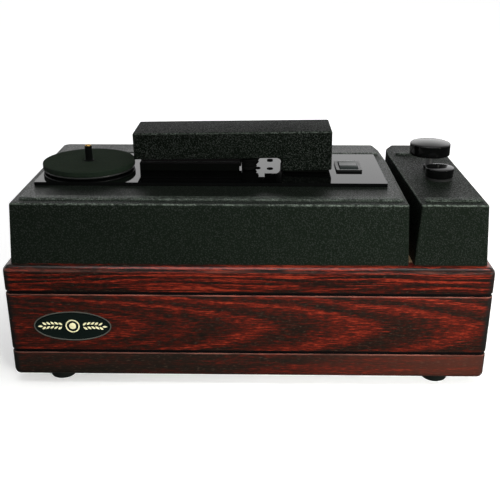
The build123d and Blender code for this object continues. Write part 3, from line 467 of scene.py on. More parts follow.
def leather(name, tint=(0.0070, 0.0108, 0.0072), grain=1.35, height=0.00024, rough=(0.26, 0.40), level=0.30, contrast=0.35,
            edge=(ZV * S, 0.0), highlight_gain=1.0):
    """Moulded black sheet with a leather grain: raised pebbles, paler on their crowns as a painted highlight.
    edge: height of the top face and its slope along X; a highlight is painted along the bend there and on the beads."""
    m = Mat(name)
    warp = m.noise(260.0, 2.0, 0.5, colour=True)
    n = m.t.nodes.new("ShaderNodeVectorMath")
    n.operation = "MULTIPLY_ADD"
    m.put(n.inputs[0], warp)
    n.inputs[1].default_value = (0.0011,) * 3
    m.put(n.inputs[2], m.co)
    wco = n.outputs[0]
    cells = m.cells(900.0 / grain, "F1", co=wco)
    small = m.cells(1300.0 / grain, "F1", co=wco, shift=(3, 1, 2))
    speck = m.remap(m.noise(1000.0, 2.0, 0.6, shift=(5, 2, 7)), 0.42, 0.60)
    pebble = m.math("ADD", m.math("MULTIPLY", m.remap(cells, 0.05, 0.70, 1.0, 0.0, smooth=True), 0.55),
                    m.math("ADD", m.math("MULTIPLY", m.remap(small, 0.0, 0.7, 1.0, 0.0), 0.15), m.math("MULTIPLY", speck, 0.30)))
    coarse = m.noise(180.0, 3.0, 0.6)
    h = m.math("ADD", pebble, m.math("MULTIPLY", coarse, 0.35))
    # painted highlight: the pebble crowns are paler, as where they catch the light
    crown = m.remap(pebble, 0.30, 0.80)
    grey = sum(tint) / 3
    light = m.mix(crown, tuple(c * (1 - 0.8 * contrast) for c in tint),
                  tuple((0.4 * c + 0.6 * grey) * (1 + 1.8 * contrast) for c in tint))
    glint = m.remap(m.cells(310.0, "F1", shift=(9, 4, 6)), 0.20, 0.08)
    light = m.mix(m.math("MULTIPLY", glint, 0.40 * contrast), light, (grey * 8.0,) * 3)
    x, y, z = m.xyz()
    # painted highlight along the bend of the top edge and on the beads; it also raises the specular level there
    up = m.math("SUBTRACT", m.math("MULTIPLY_ADD", x, -edge[1], z), edge[0])      # above the top face
    bend = m.math("MULTIPLY", m.remap(up, -0.0020, -0.0011), m.remap(up, -0.00005, -0.00035))
    bead = m.remap(up, 0.00015, 0.0006)
    patchy = m.math("MULTIPLY", m.remap(m.noise(330.0, 2.0, 0.6, shift=(4, 2, 9)), 0.40, 0.58, 0.15, 1.25),
                    m.math("MULTIPLY_ADD", crown, 0.6, m.remap(m.noise(60.0, 3.0, 0.6, shift=(2, 8, 3)), 0.35, 0.70, 0.35, 0.75)))
    painted_edge_highlight = m.math("MULTIPLY", m.math("MAXIMUM", bend, m.math("MULTIPLY", bead, 0.55)), m.math("MULTIPLY", patchy, highlight_gain), clamp=True)
    light = m.mix(painted_edge_highlight, light, tuple((0.45 * c + 0.55 * grey) * 11.0 for c in tint))
    dust = m.remap(m.noise(9.0, 4.0, 0.6, shift=(1, 4, 2)), 0.42, 0.75)
    col = m.mix(m.math("MULTIPLY", dust, 0.10), light, tuple(c * 2.0 for c in tint))
    r = m.math("ADD", m.remap(pebble, 0.1, 1.0, rough[1], rough[0]), m.math("MULTIPLY_ADD", dust, 0.08, 0.0))
    m.set(Base_Color=col, Roughness=r, Normal=m.bump(h, height, 1.0),
          Specular_IOR_Level=m.math("MULTIPLY", m.remap(crown, 0.0, 1.0, level * 0.25, level * 1.75), m.math("MULTIPLY_ADD", painted_edge_highlight, 1.6, 1.0)))
    return m.m


def gloss(name, col=(0.0009, 0.0010, 0.0010), rough=0.045, level=0.5, scratch=1.0, dust_amount=1.0, wave=0.0):
    """Polished plastic with a little dust and hairline wiping marks."""
    m = Mat(name)
    wipe = m.noise((40.0, 900.0, 900.0), 2.0, 0.6, distort=0.4, shift=(2, 5, 1))
    wipe2 = m.noise((700.0, 55.0, 700.0), 2.0, 0.6, distort=0.4, shift=(7, 1, 3))
    marks = m.math("MAXIMUM", m.remap(wipe, 0.62, 0.78), m.remap(wipe2, 0.64, 0.80))
    specks = m.remap(m.cells(420.0, "F1"), 0.10, 0.03)
    haze = m.remap(m.noise(14.0, 3.0, 0.6), 0.35, 0.8)
    c = m.mix(m.math("MULTIPLY", specks, 0.30 * dust_amount), col, (0.05, 0.05, 0.048))
    c = m.mix(m.math("MULTIPLY", haze, 0.25 * dust_amount), c, (0.0045, 0.0048, 0.0046))
    r = m.math("ADD", m.math("MULTIPLY_ADD", haze, 0.05 * dust_amount, rough), m.math("MULTIPLY", marks, 0.10 * scratch))
    h = m.math("ADD", m.math("MULTIPLY", marks, -0.25), m.math("MULTIPLY", m.noise(60.0, 2.0, 0.5), wave))
    m.set(Base_Color=c, Roughness=r, Normal=m.bump(h, 0.00002, 0.5), Specular_IOR_Level=level)
    return m.m


def satin(name, col, rough=0.4, level=0.4, metal=0.0, grain=900.0, depth=0.00003, vary=0.35, axis=None):
    """Moulded, cast or brushed finish with small variation."""
    m = Mat(name)
    sc = (grain,) * 3 if axis is None else tuple(grain if k != axis else grain * 0.03 for k in range(3))
    n = m.noise(sc, 3.0, 0.6)
    blot = m.noise(35.0, 3.0, 0.6, shift=(3, 2, 1))
    c = m.mix(m.remap(n, 0.3, 0.7), tuple(x * (1 - vary * 0.5) for x in col), tuple(min(1.0, x * (1 + vary)) for x in col))
    c = m.mix(m.math("MULTIPLY", m.remap(blot, 0.45, 0.8), 0.3), c, tuple(x * 0.55 for x in col))
    m.set(Base_Color=c, Roughness=m.math("ADD", m.remap(blot, 0.3, 0.7, rough * 0.85, rough * 1.2), 0.0),
          Normal=m.bump(n, depth, 1.0), Specular_IOR_Level=level, Metallic=metal)
    return m.m


def felt(name, col=(0.0105, 0.0125, 0.0120), scale=1500.0, depth=0.00018, sheen=0.10, rough=0.85, level=0.25, tufts=900.0):
    """Fibrous or cellular pad."""
    m = Mat(name)
    a = m.noise(scale, 4.0, 0.7)
    b = m.cells(tufts, "F1", co=None)
    h = m.math("ADD", a, m.math("MULTIPLY", m.remap(b, 0.0, 0.8, 1.0, 0.0), 0.6))
    blot = m.noise(30.0, 3.0, 0.6)
    c = m.mix(m.remap(a, 0.35, 0.7), tuple(x * 0.6 for x in col), tuple(x * 1.7 for x in col))
    c = m.mix(m.math("MULTIPLY", m.remap(blot, 0.4, 0.75), 0.35), c, tuple(x * 1.5 for x in col))
    m.set(Base_Color=c, Roughness=m.remap(a, 0.3, 0.7, rough, min(1.0, rough + 0.12)), Normal=m.bump(h, depth, 1.0),
          Specular_IOR_Level=level, Sheen_Weight=sheen, Sheen_Roughness=0.5)
    return m.m


def milky(name, col, rough=0.35, trans=0.35):
    m = Mat(name)
    blot = m.noise(18.0, 3.0, 0.6)
    fine = m.noise(420.0, 2.0, 0.5)
    c = m.mix(m.remap(blot, 0.35, 0.7), col, tuple(x * 0.86 for x in col))
    m.set(Base_Color=c, Roughness=m.remap(fine, 0.3, 0.7, rough * 0.8, rough * 1.2), Normal=m.bump(fine, 0.00003, 1.0),
          Transmission_Weight=trans, Specular_IOR_Level=0.4)
    return m.m


def bare_wood(name):
    m = Mat(name)
    g = m.noise((9.0, 120.0, 120.0), 4.0, 0.6, distort=0.3)
    f = m.noise((60.0, 1400.0, 1400.0), 2.0, 0.6)
    c = m.ramp(m.math("MULTIPLY_ADD", f, 0.35, m.math("MULTIPLY", g, 0.75)),
               [(0.25, (0.30, 0.17, 0.085)), (0.5, (0.50, 0.33, 0.18)), (0.8, (0.64, 0.47, 0.28))])
    m.set(Base_Color=c, Roughness=m.remap(f, 0.3, 0.7, 0.6, 0.8), Normal=m.bump(f, 0.0001, 0.8), Specular_IOR_Level=0.3)
    return m.m


def groove_black(name):
    m = Mat(name)
    n = m.noise((60.0, 900.0, 900.0), 3.0, 0.6)
    c = m.mix(n, (0.0018, 0.0018, 0.0018), (0.0040, 0.0034, 0.0032))
    m.set(Base_Color=c, Roughness=m.remap(n, 0.3, 0.7, 0.75, 0.9), Normal=m.bump(n, 0.00005, 0.8), Specular_IOR_Level=0.08)
    return m.m


ZHEAD = (HTOP + 79.7 * -0.01483) * S               # top face of the head at X = 0
M = {
    "wood_front": wood("wood_front", 0),
    "wood_back": wood("wood_back", 0, 37.0, -1.0),
    "wood_left": wood("wood_left", 1, -60.0, 1.0),
    "wood_right": wood("wood_right", 1, 95.0, -1.0),
    "groove": groove_black("groove_black"),
    "raw": bare_wood("bare_wood"),
    "cover": leather("cover_grain", tint=(0.0050, 0.0080, 0.0052)),
    "cover_res": leather("reservoir_grain", tint=(0.0062, 0.0094, 0.0063), grain=1.30, height=0.00032, rough=(0.32, 0.48), level=0.12,
                         contrast=0.42),
    "head": leather("head_grain", tint=(0.0050, 0.0076, 0.0052), grain=1.15, height=0.00036, rough=(0.42, 0.60), level=0.10,
                    contrast=0.95, edge=(ZHEAD, 0.01483), highlight_gain=0.6),
    "deck": gloss("deck_gloss", rough=0.022, level=0.30, scratch=0.5, dust_amount=0.5),
    "knob": gloss("knob_gloss", rough=0.055, level=0.34, scratch=0.6, dust_amount=0.5),
    "badge": gloss("badge_gloss", (0.0038, 0.0066, 0.0058), 0.09, scratch=0.4, dust_amount=0.3),
    "badge_line": satin("badge_line", (0.86, 0.74, 0.46), 0.42, 0.4, 0.15, 1400.0, 0.00001),
    "badge_rim": satin("badge_rim", (0.060, 0.060, 0.052), 0.40, 0.4, 0.0, 1400.0, 0.00001),
    "switch": satin("switch_case", (0.0010, 0.0012, 0.0011), 0.30, 0.36, 0.0, 1800.0, 0.00001),
    # the rocker is near-black teal plastic; part of the teal is a painted reflection of the room seen on its front
    # facet
    "rocker": gloss("rocker_gloss", (0.0040, 0.0090, 0.0078), 0.14, 0.50, 0.4, 0.4),
    "hole": satin("dead_black", (0.0010, 0.0012, 0.0010), 0.75, 0.03, 0.0, 1200.0, 0.00003),
    "sleeve": satin("sleeve_black", (0.0010, 0.0012, 0.0011), 0.55, 0.04, 0.0, 1500.0, 0.00002),
    "boot": felt("boot_rubber", (0.0020, 0.0021, 0.0020), 900.0, 0.00004, 0.0, 0.8, 0.03, 700.0),
    "matte": satin("matte_black", (0.0075, 0.0078, 0.0076), 0.46, 0.35, 0.0, 1200.0, 0.00003),
    "rubber": felt("rubber_black", (0.0042, 0.0052, 0.0044), 900.0, 0.00005, 0.0, 0.62, 0.35, 700.0),
    "mat": felt("mat_felt", (0.0085, 0.0132, 0.0082), 620.0, 0.00030, 0.0, 0.85, 0.05, 520.0),
    "mat_side": felt("mat_side", (0.0050, 0.0082, 0.0052), 700.0, 0.00030, 0.0, 0.72, 0.12, 600.0),
    "velvet": felt("velvet_black", (0.0022, 0.0022, 0.0022), 1700.0, 0.00025, 0.02, 0.92, 0.03, 1400.0),
    "plate": satin("platter_plate", (0.010, 0.0105, 0.010), 0.26, 0.5, 0.0, 1500.0, 0.00001),
    "brass": satin("brass", (0.42, 0.26, 0.085), 0.26, 0.5, 1.0, 900.0, 0.00001, 0.25),
    "steel": satin("steel", (0.50, 0.50, 0.51), 0.34, 0.5, 1.0, 700.0, 0.00001, 0.2, 0),
    "black_metal": satin("black_metal", (0.012, 0.012, 0.012), 0.32, 0.5, 0.0, 900.0, 0.00002),
    "clear": milky("milky_tank", (0.72, 0.72, 0.69)),
    "grey": satin("grey_pipe", (0.30, 0.30, 0.31), 0.45, 0.4, 0.0, 500.0, 0.00003),
    "alu": satin("cast_aluminium", (0.62, 0.62, 0.63), 0.42, 0.5, 1.0, 420.0, 0.00006, 0.2),
}

# ---------------------------------------------------------------- cabinet boards


def board_profile():
    """(inset, z, material of the strip that follows), once round the board."""
    p = [(BOARD, Z0, 1), (EDGE, Z0, 0)]
    p += [(EDGE - EDGE * sin(rad(a)), Z0 + EDGE - EDGE * cos(rad(a)), 0) for a in range(15, 91, 15)]
    for g in GROOVES:
        lo, hi = g - 1.5, g + 1.5
        p += [(0, lo - 0.75, 0), (0.10, lo - 0.38, 0), (0.36, lo - 0.10, 0), (0.75, lo, 2), (2.75, lo, 2), (3.0, lo + 0.25, 2),
              (3.0, hi - 0.25, 2), (2.75, hi, 2), (0.55, hi, 0), (0.24, hi + 0.09, 0), (0.07, hi + 0.30, 0), (0, hi + 0.55, 0)]
    p += [(EDGE - EDGE * cos(rad(a)), ZC - EDGE + EDGE * sin(rad(a)), 0) for a in range(0, 91, 10)]
    p += [(BOARD, ZC, 1)]
    return p


def board(name, side, node, mat):
    s = Shape()
    prof = board_profile()
    half_a, half_b = (HW, HD) if side in ("front", "back") else (HD, HW)
    ids = []
    for d, z, _ in prof:
        r = max(EDGE - d, 0.0)
        a, b = half_a - d, half_b - d
        row = []
        for k in range(6):                       # left corner, from its middle
            t = rad(45 + 9 * k)
            row.append((-(a - r) - r * cos(t), -(b - r) - r * sin(t)))
        for k in range(6):
            t = rad(90 - 9 * k)
            row.append(((a - r) + r * cos(t), -(b - r) - r * sin(t)))
        if side == "front":
            pts = [(u, v, z) for u, v in row]
        elif side == "back":
            pts = [(-u, -v, z) for u, v in row]
        elif side == "left":
            pts = [(v, -u, z) for u, v in row]
        else:
            pts = [(-v, u, z) for u, v in row]
        ids.append(s.pts(pts))
    for k in range(len(ids)):
        s.band(ids[k], ids[(k + 1) % len(ids)], prof[k][2], closed=False)
    s.face([r[0] for r in ids], 1)
    s.face([r[-1] for r in reversed(ids)], 1)
    return make(name, s, "root", (node,), (mat, M["raw"], M["groove"]), angle=34)


def prism_y(x, z, rx, rz, y0, y1, n=72, mat=0, mats=()):
    """Elliptic cutter along Y."""
    s = Shape()
    loop = lambda y: [(x + rx * cos(2 * math.pi * k / n), y, z + rz * sin(2 * math.pi * k / n)) for k in range(n)]
    ids = s.skin([loop(y0), loop(y1)], mat)
    s.face(ids[0], mat)
    s.face(ids[1], mat)
    return cutter(s, mats)


def block(x0, x1, y0, y1, z0, z1, mat=0, mats=()):
    s = Shape()
    s.box(x0, x1, y0, y1, z0, z1, mat)
    return cutter(s, mats)


BX, BZ = -161.5, 60.4
BADGE_A, BADGE_B = 35.8, 15.0
front = board("board_front", "front", "cabinet_front", M["wood_front"])
cut(front, [prism_y(BX, BZ, BADGE_A + 0.15, BADGE_B + 0.15, -120.0, -HD + 1.6, 96, 0, (M["groove"],))], 34)
board("board_left", "left", "cabinet_left", M["wood_left"])
board("board_right", "right", "cabinet_right", M["wood_right"])
back = board("board_back", "back", "cabinet_back", M["wood_back"])
INX, INZ, EXX, EXZ, DRX, DRZ = 165.0, 56.0, 116.0, 83.6, -150.0, 30.0
raw = (M["groove"],)
cut(back, [block(INX - 16, INX + 16, 90, 120, INZ - 12.5, INZ + 12.5, 0, raw),
           block(INX - 26, INX + 26, HD - 3, 120, INZ - 14.5, INZ + 14.5, 0, raw),
           prism_y(DRX, DRZ, 6.3, 6.3, 90, 120, 40, 0, raw), prism_y(DRX, DRZ, 14, 14, HD - 11, 120, 72, 0, raw)]
    + [block(EXX - 17, EXX + 17, 90, 120, EXZ + k * 6.2 - 2.1, EXZ + k * 6.2 + 2.1, 0, raw) for k in (-1, 0, 1)], 34)

# oval badge: raised rim, sunk field, plain ornament of leaves round a small disc
s = Shape()


def oval(da, y, n=96, z=0.0):
    a, b = BADGE_A - da, BADGE_B - da
    return [(BX + a * cos(2 * math.pi * k / n), y, BZ + b * sin(2 * math.pi * k / n)) for k in range(n)]


ids = s.skin([oval(0, -111.95), oval(0, -113.2), oval(0.25, -113.42), oval(0.55, -113.48), oval(0.95, -113.42),
              oval(1.15, -113.22), oval(1.5, -113.15), oval(6.0, -113.2)], mats=[0, 2, 2, 2, 2, 0, 0])
s.face(ids[-1], 0)
s.face(ids[0], 0)


def relief(points, y0=-113.12, y1=-113.34, mat=1):
    """Low raised motif from an outline in the badge's plane."""
    a = s.pts([(BX + u, y0, BZ + v) for u, v in points])
    cu = sum(p[0] for p in points) / len(points)
    cv = sum(p[1] for p in points) / len(points)
    b = s.pts([(BX + cu + (u - cu) * 0.86, y1, BZ + cv + (v - cv) * 0.86) for u, v in points])
    s.band(a, b, mat)
    s.fill(b, axes=(0, 2), mat=mat)
    s.fill(a, axes=(0, 2), mat=mat)


def leaf(u, v, ang, length, width):
    pts = []
    for k in range(14):
        t = k / 7.0 if k <= 7 else (14 - k) / 7.0
        w = width * sin(math.pi * t) ** 0.8 * (1 if k <= 7 else -1) * 0.5
        x, y = (t - 0.5) * length, w
        pts.append((u + x * cos(ang) - y * sin(ang), v + x * sin(ang) + y * cos(ang)))
    return pts


ring_o = arc((0, 0), 6.6, 0, 345, 23)
ring_i = arc((0, 0), 5.4, 345, 0, 23)
a_, b_ = s.pts([(BX + u, -113.34, BZ + v) for u, v in ring_o]), s.pts([(BX + u, -113.34, BZ + v) for u, v in reversed(ring_i)])
c_, d_ = s.pts([(BX + u, -113.12, BZ + v) for u, v in ring_o]), s.pts([(BX + u, -113.12, BZ + v) for u, v in reversed(ring_i)])
s.band(a_, b_, 1)
s.band(c_, d_, 1)
s.band(a_, c_, 1)
s.band(b_, d_, 1)
relief(arc((0, 0), 3.4, 0, 345, 23))
for side in (-1, 1):
    for k in range(6):
        u = side * (11.2 + 3.7 * k)
        v = 0.7 * sin(k * 0.8)
        lift = 0.72 if k < 5 else 0.0
        relief(leaf(u, v + 2.2 * (1 if k < 5 else 0), math.atan2(lift, side), 4.7, 2.1))
        if k < 5:
            relief(leaf(u + side * 0.5, v - 2.2, math.atan2(-lift, side), 4.7, 2.1))
make("badge_plate", s, "root", ("badge",), (M["badge"], M["badge_line"], M["badge_rim"]), angle=40, weld=0.0005)

# rubber feet
s = Shape()
for fx in (-179.0, 179.0):
    for fy in (-94.0, 94.0):
        prof = [(4.2, 5.0), (4.2, 0.7), (4.6, 0.25), (5.1, 0.0), (10.9, 0.0)]
        prof += [(10.95 + 1.0 * sin(rad(a)), 1.0 - 1.0 * cos(rad(a))) for a in (20, 45, 70, 90)]
        prof += [(12.25, 5.6), (12.40, 7.4), (12.15, 7.85), (11.8, 8.0), (3.3, 8.0), (3.3, 10.0), (2.1, 10.0), (2.1, 5.0)]
        lathe(s, fx, fy, prof, 56, closed=True)
make("rubber_feet", s, "root", ("feet",), (M["rubber"],), angle=40)

# ---------------------------------------------------------------- covers
BEAD = [(0.0, 0.0), (0.16, 0.05), (0.42, 0.34), (0.80, 0.95), (1.25, 1.42), (1.90, 1.70), (2.7, 1.79), (3.8, 1.80)]


def slot_loop(xa, xb, y, r, z, n=12):
    out = [(xb + r * cos(rad(a)), y + r * sin(rad(a)), z) for a in [-90 + 180 * k / n for k in range(n + 1)]]
    out += [(xa + r * cos(rad(a)), y + r * sin(rad(a)), z) for a in [90 + 180 * k / n for k in range(n + 1)]]
    return out


def formed_cover(name, node, foot, top, beads, openings, bosses, mat):
    s = Shape()
    n = 6
    rt = 1.7

    def level(z):
        k = (z - ZC) / (ZV - ZC)
        return [tuple(a + (b - a) * k for a, b in zip(p, q)) for p, q in zip(foot, top)]

    loops = []
    for k in range(5):
        z = ZC + (ZV - rt - ZC) * k / 4
        loops.append(rpoly(level(z), z, n))
    for a in (15, 30, 45, 60, 75, 90):
        z = ZV - rt + rt * sin(rad(a))
        loops.append(rpoly(inset(level(z), rt * (1 - cos(rad(a)))), z, n))
    ids = s.skin(loops)
    holes_up, holes_dn = [], []
    for xa, xb, y in beads:
        r = 5.5
        rows = s.skin([slot_loop(xa + r, xb - r, y, r - d, ZV + h) for d, h in BEAD])
        s.face(rows[-1])
        holes_up.append(rows[0])
    for o in openings:
        if len(o) == 3:
            up, dn = s.pts(circle(o[0], o[1], o[2], ZV)), s.pts(circle(o[0], o[1], o[2], ZV - 3.0))
        else:
            up = s.pts(rrect(o[0], o[1], o[2], o[3], 0.5, ZV, 3))
            dn = s.pts(rrect(o[0], o[1], o[2], o[3], 0.5, ZV - 3.0, 3))
        s.band(up, dn)
        holes_up.append(up)
        holes_dn.append(dn)
    s.fill(ids[-1], holes_up)
    rows = s.skin([rpoly(inset(level(ZC), 3.0), ZC, n), rpoly(inset(level(ZV - 3.0), 3.0), ZV - 3.0, n)])
    s.band(ids[0], rows[0])
    s.fill(rows[1], holes_dn)
    for bx, by in bosses:
        lathe(s, bx, by, [(4.5, ZC), (4.5, ZV - 3.0), (1.9, ZV - 3.0), (1.9, ZC)], 20, closed=True)
    return make(name, s, "root", (node,), (mat,), angle=30)


formed_cover("cover_main", "main_cover",
             [(-214.4, -105.6, 2.0), (144.4, -105.6, 2.0), (144.4, 42.0, 0.6), (142.6, 85.0, 0.6), (138.6, 107.2, 3.0),
              (-214.2, 107.2, 7.0)],
             [(-210.8, -102.4, 2.0), (141.3, -102.4, 2.0), (141.3, 42.0, 0.6), (139.3, 84.0, 0.6), (135.2, 106.2, 3.0),
              (-210.4, 106.2, 7.0)],
             [(-206.0, 139.0, -88.6), (-206.0, 137.0, 67.0)],
             [(PLX, PLY, 6.2), (DUCT_X - 6, DUCT_X + 6, PLY - 4, PLY + 4), (-1.8, PLY, 4.2), (20.2, 28.7, 2.7),
              (SWX - 11.2, SWX + 11.2, SWY - 15, SWY + 15), (20.0, -1.8, 1.7), (7.6, 0.2, 1.7),
              (42.0, 46.5, 1.5), (55.0, 46.5, 1.5), (68.0, 46.5, 1.5)],
             [(-180, -90), (-180, 90), (126, -90), (118, 84), (-30, -92), (-30, 92)], M["cover"])
formed_cover("cover_reservoir", "reservoir_cover",
             [(148.9, -104.4, 2.0), (214.9, -104.4, 2.0), (213.4, 107.2, 12.0), (156.2, 107.2, 2.0), (147.9, 91.5, 2.0),
              (147.2, 68.0, 0.6)],
             [(152.6, -101.3, 2.0), (211.3, -101.3, 2.0), (209.7, 106.5, 12.0), (156.6, 106.5, 2.0), (148.8, 91.0, 2.0),
              (147.9, 68.0, 0.6)],
             [(156.0, 209.0, -88.6), (154.5, 208.0, 67.0)],
             [(PUX, PUY, 5.3), (CPX, CPY, 10.1)], [(158, -88), (181, -88), (158, 88), (181, 88)], M["cover_res"])

# ---------------------------------------------------------------- platter
s = Shape()
r0 = 44.5
prof = [(3.0, 179.6), (9.0, 179.6), (9.0, 180.5), (r0 - 0.5, 180.5), (r0 - 0.15, 180.62), (r0, 180.95), (r0, 181.75),
        (r0 - 0.15, 182.08), (r0 - 0.5, 182.2), (3.0, 182.2)]
lathe(s, PLX, PLY, prof, 128, closed=True)
make("platter_plate_disc", s, "platter", ("platter_disc",), (M["plate"],), angle=40)
s = Shape()
r1 = 44.95
prof = [(5.45, 182.2), (r1 - 0.8, 182.2)] + [(r1 - 0.8 + 0.8 * sin(rad(a)), 183.0 - 0.8 * cos(rad(a))) for a in (22, 45, 68, 90)]
side_from = len(prof) - 5
prof += [(r1, 186.6)] + [(r1 - 0.8 + 0.8 * cos(rad(a)), 186.6 + 0.8 * sin(rad(a))) for a in (22, 45, 68, 90)]
top_from = len(prof) - 2
prof += [(r1 - 6, ZM - 0.03), (r1 - 24, ZM - 0.06), (6.4, ZM - 0.03), (5.7, ZM - 0.15), (5.45, ZM - 0.5)]
mats = [1 if side_from <= k < top_from else 0 for k in range(len(prof))]
lathe(s, PLX, PLY, prof, 144, mats=mats, closed=True)
make("platter_pad_ring", s, "platter", ("platter_mat",), (M["mat"], M["mat_side"]), angle=48)
s = Shape()
lathe(s, PLX, PLY, [(3.0, 182.2), (5.25, 182.2), (5.25, 186.9), (5.15, 187.3), (4.85, 187.55), (4.0, 187.7), (3.7, 188.0), (3.55, 188.6),
                    (3.50, 200.9), (3.42, 201.55), (3.2, 201.86), (2.95, 201.9)], 48, mats=[0] * 12, closed=True)
make("spindle_collar", s, "platter", ("spindle_sleeve",), (M["sleeve"],), angle=35)
s = Shape()
lathe(s, PLX, PLY, [(0.0, 201.9), (3.05, 201.9), (3.05, 202.1), (2.95, 202.45), (2.6, 202.8), (2.0, 203.05), (1.2, 203.22),
                    (0.5, 203.29), (0.0, 203.3)], 40)
make("spindle_end", s, "platter", ("spindle_tip",), (M["brass"],), angle=50)

# ---------------------------------------------------------------- lips and boot
def strip(name, node, body, rows, z0, z1, x0, x1, crown, up):
    """Pile strips with a rounded running edge."""
    s = Shape()
    for ya, yb in rows:
        loops = []
        nx = 40
        for i in range(nx + 1):
            x = x0 + (x1 - x0) * i / nx
            endf = min(1.0, (min(i, nx - i) / nx * (x1 - x0)) / 1.2)
            k = 0.55 + 0.45 * math.sqrt(max(0.0, 1 - (1 - endf) ** 2))
            h = (z1 - z0) * k
            ripple = 0.06 * sin(i * 2.1) * sin(i * 0.7)
            zt = (z0 + h + ripple - 0.06) if up else (z1 - h - ripple + 0.06)
            zb = z0 if up else z1
            sg = 1 if up else -1
            c = crown
            loops.append([(x, ya, zb), (x, yb, zb), (x, yb, zt - sg * c), (x, yb - 0.3 * c, zt - sg * 0.3 * c), (x, yb - c, zt),
                          (x, ya + c, zt), (x, ya + 0.3 * c, zt - sg * 0.3 * c), (x, ya, zt - sg * c)])
        ids = s.skin(loops)
        s.face(ids[0])
        s.face(ids[-1])
    return make(name, s, body, (node,), (M["velvet"],), angle=50)


LIPS = [(PLY - 7.4, PLY - 1.4), (PLY + 1.4, PLY + 7.4)]
strip("lips_lower", "lower_lips", "root", LIPS, ZM - 1.3, ZM, -107.9, -8.4, 0.8, True)
strip("lips_upper", "upper_lips", "head", LIPS, ZM + 0.7, 191.0, -106.9, -8.4, 0.8, False)

# rubber boot: a stepped cone, flat on the side of the lips
BOOT = [(7.0, 179.55), (7.25, 179.75), (7.6, 180.3), (7.7, 181.0), (8.35, 181.9), (8.45, 182.3), (7.6, 182.9), (7.75, 183.3), (9.1, 184.9),
        (10.1, 186.1), (10.35, 186.5), (10.2, 186.85), (9.2, 187.3), (9.3, 187.6), (10.3, 188.8), (11.0, 189.8), (11.4, 190.4), (11.4, 191.0)]
s = Shape()
flat_x = -8.0
rings = []
for r, z in BOOT:
    xc = -1.45 + 0.15 * (z - 179.55) / 11.45
    rings.append([(max(x, flat_x), y, zz) for x, y, zz in circle(xc, PLY, r, z, 72)])
ids = s.skin(rings)
bore = s.skin([circle(-1.8, PLY, 3.6, z, 72) for z in (179.55, 191.0)])
s.band(ids[0], bore[0])
s.band(ids[-1], bore[-1])
make("boot", s, "head", ("head_boot",), (M["boot"],), angle=40)

# ---------------------------------------------------------------- head shell
def head_outline(d, y):
    n = 5
    x0, x1, zt, zl, zh, xs = HX0 + d, HX1 - d, HTOP - d, HLOW + d, HHIGH + d, HSTEP + d
    out = []

    def corner(cx, cz, r, a0, a1):
        out.extend((u, y, v) for u, v in arc((cx, cz), r, a0, a1, n))

    r = max(1.5 - d, 0.12)
    corner(x1 - r, zl + r, r, -90, 0)
    corner(x1 - r, zt - r, r, 0, 90)
    corner(x0 + r, zt - r, r, 90, 180)
    r = max(1.1 - d, 0.12)
    corner(x0 + r, zh + r, r, 180, 270)
    corner(HSTEP - 5.0, HHIGH - 5.0, 5.0 + d, 90, 0)
    r = max(1.3 - d, 0.12)
    corner(xs + r, zl + r, r, 180, 270)
    return out


s = Shape()
re = 1.45
loops = [head_outline(re * (1 - sin(rad(a))), HY0 + re * (1 - cos(rad(a)))) for a in (0, 18, 36, 54, 72, 90)]
loops += [head_outline(re * (1 - sin(rad(a))), HY1 - re * (1 - cos(rad(a)))) for a in (90, 72, 54, 36, 18, 0)]
ids = s.skin(loops)
s.fill(ids[0], axes=(0, 2))
s.fill(ids[-1], axes=(0, 2))
shell = make("head_shell", s, "head", ("head_housing",), (M["head"],), angle=38)
hollow = Shape()
rows = hollow.skin([rrect(HX0 + 2.5, 26.5, HY0 + 2.5, HY1 - 2.5, 1.2, z, 4) for z in (188.0, HTOP - 2.5)])
hollow.face(rows[0])
hollow.face(rows[1])
cut(shell, [cutter(hollow, (M["head"],))], 38)
cut(shell, [block(8.5, 15.0, HY1 - 3.0, HY1 + 1, HHIGH - 1, 199.5, 0, (M["head"],))], 38)
shell.data.transform(HEAD_TILT)

# wedge pad under the deep part
t = math.tan(rad(0.85))
s = Shape()
loops = []
for d, k in ((0.5, 0.0), (0.15, 0.12), (0.0, 0.4), (0.0, 0.6), (0.15, 0.88), (0.5, 1.0)):
    lp = []
    for x, y, _ in rrect(33.6 + d, 76.7 - d, -15.5 + d, 30.7 - d, 1.6, 0, 4):
        zt = HLOW - (79.7 - x) * t
        lp.append((x, y, 179.55 + (zt - 179.55) * k))
    loops.append(lp)
ids = s.skin(loops)
s.face(ids[0])
s.face(ids[-1])
pad = make("under_pad", s, "head", ("head_pad",), (M["hole"],), angle=50)

# ---------------------------------------------------------------- rocker switch
s = Shape()
ow, ol = 12.6, 16.0
iw, il = 9.05, 13.9


def sq(hx, hy, z, r):
    return rrect(SWX - hx, SWX + hx, SWY - hy, SWY + hy, r, z, 4)


loops = [sq(11.0, 14.8, 156.0, 0.6), sq(11.0, 14.8, ZD, 0.6), sq(ow - 0.1, ol - 0.1, ZD, 0.9), sq(ow, ol, ZD + 0.15, 0.9),
         sq(ow, ol, ZD + 2.02, 0.9), sq(ow - 0.05, ol - 0.05, ZD + 2.12, 0.8), sq(ow - 0.16, ol - 0.16, ZD + 2.2, 0.6),
         sq(iw + 0.35, il + 0.35, ZD + 2.16, 0.4), sq(iw + 0.08, il + 0.08, ZD + 1.95, 0.3),
         sq(iw, il, ZD + 1.5, 0.3), sq(iw, il, ZD - 9.0, 0.3)]
ids = s.skin(loops)
s.face(ids[0])
s.face(ids[-1])
for a in (-5.5, 5.5):
    for b in (-7.0, 7.0):
        s.box(SWX + a - 3.2, SWX + a + 3.2, SWY + b - 0.4, SWY + b + 0.4, 146.0, 156.0, 1)
make("switch_bezel", s, "root", ("switch_body",), (M["switch"], M["brass"]), angle=30)

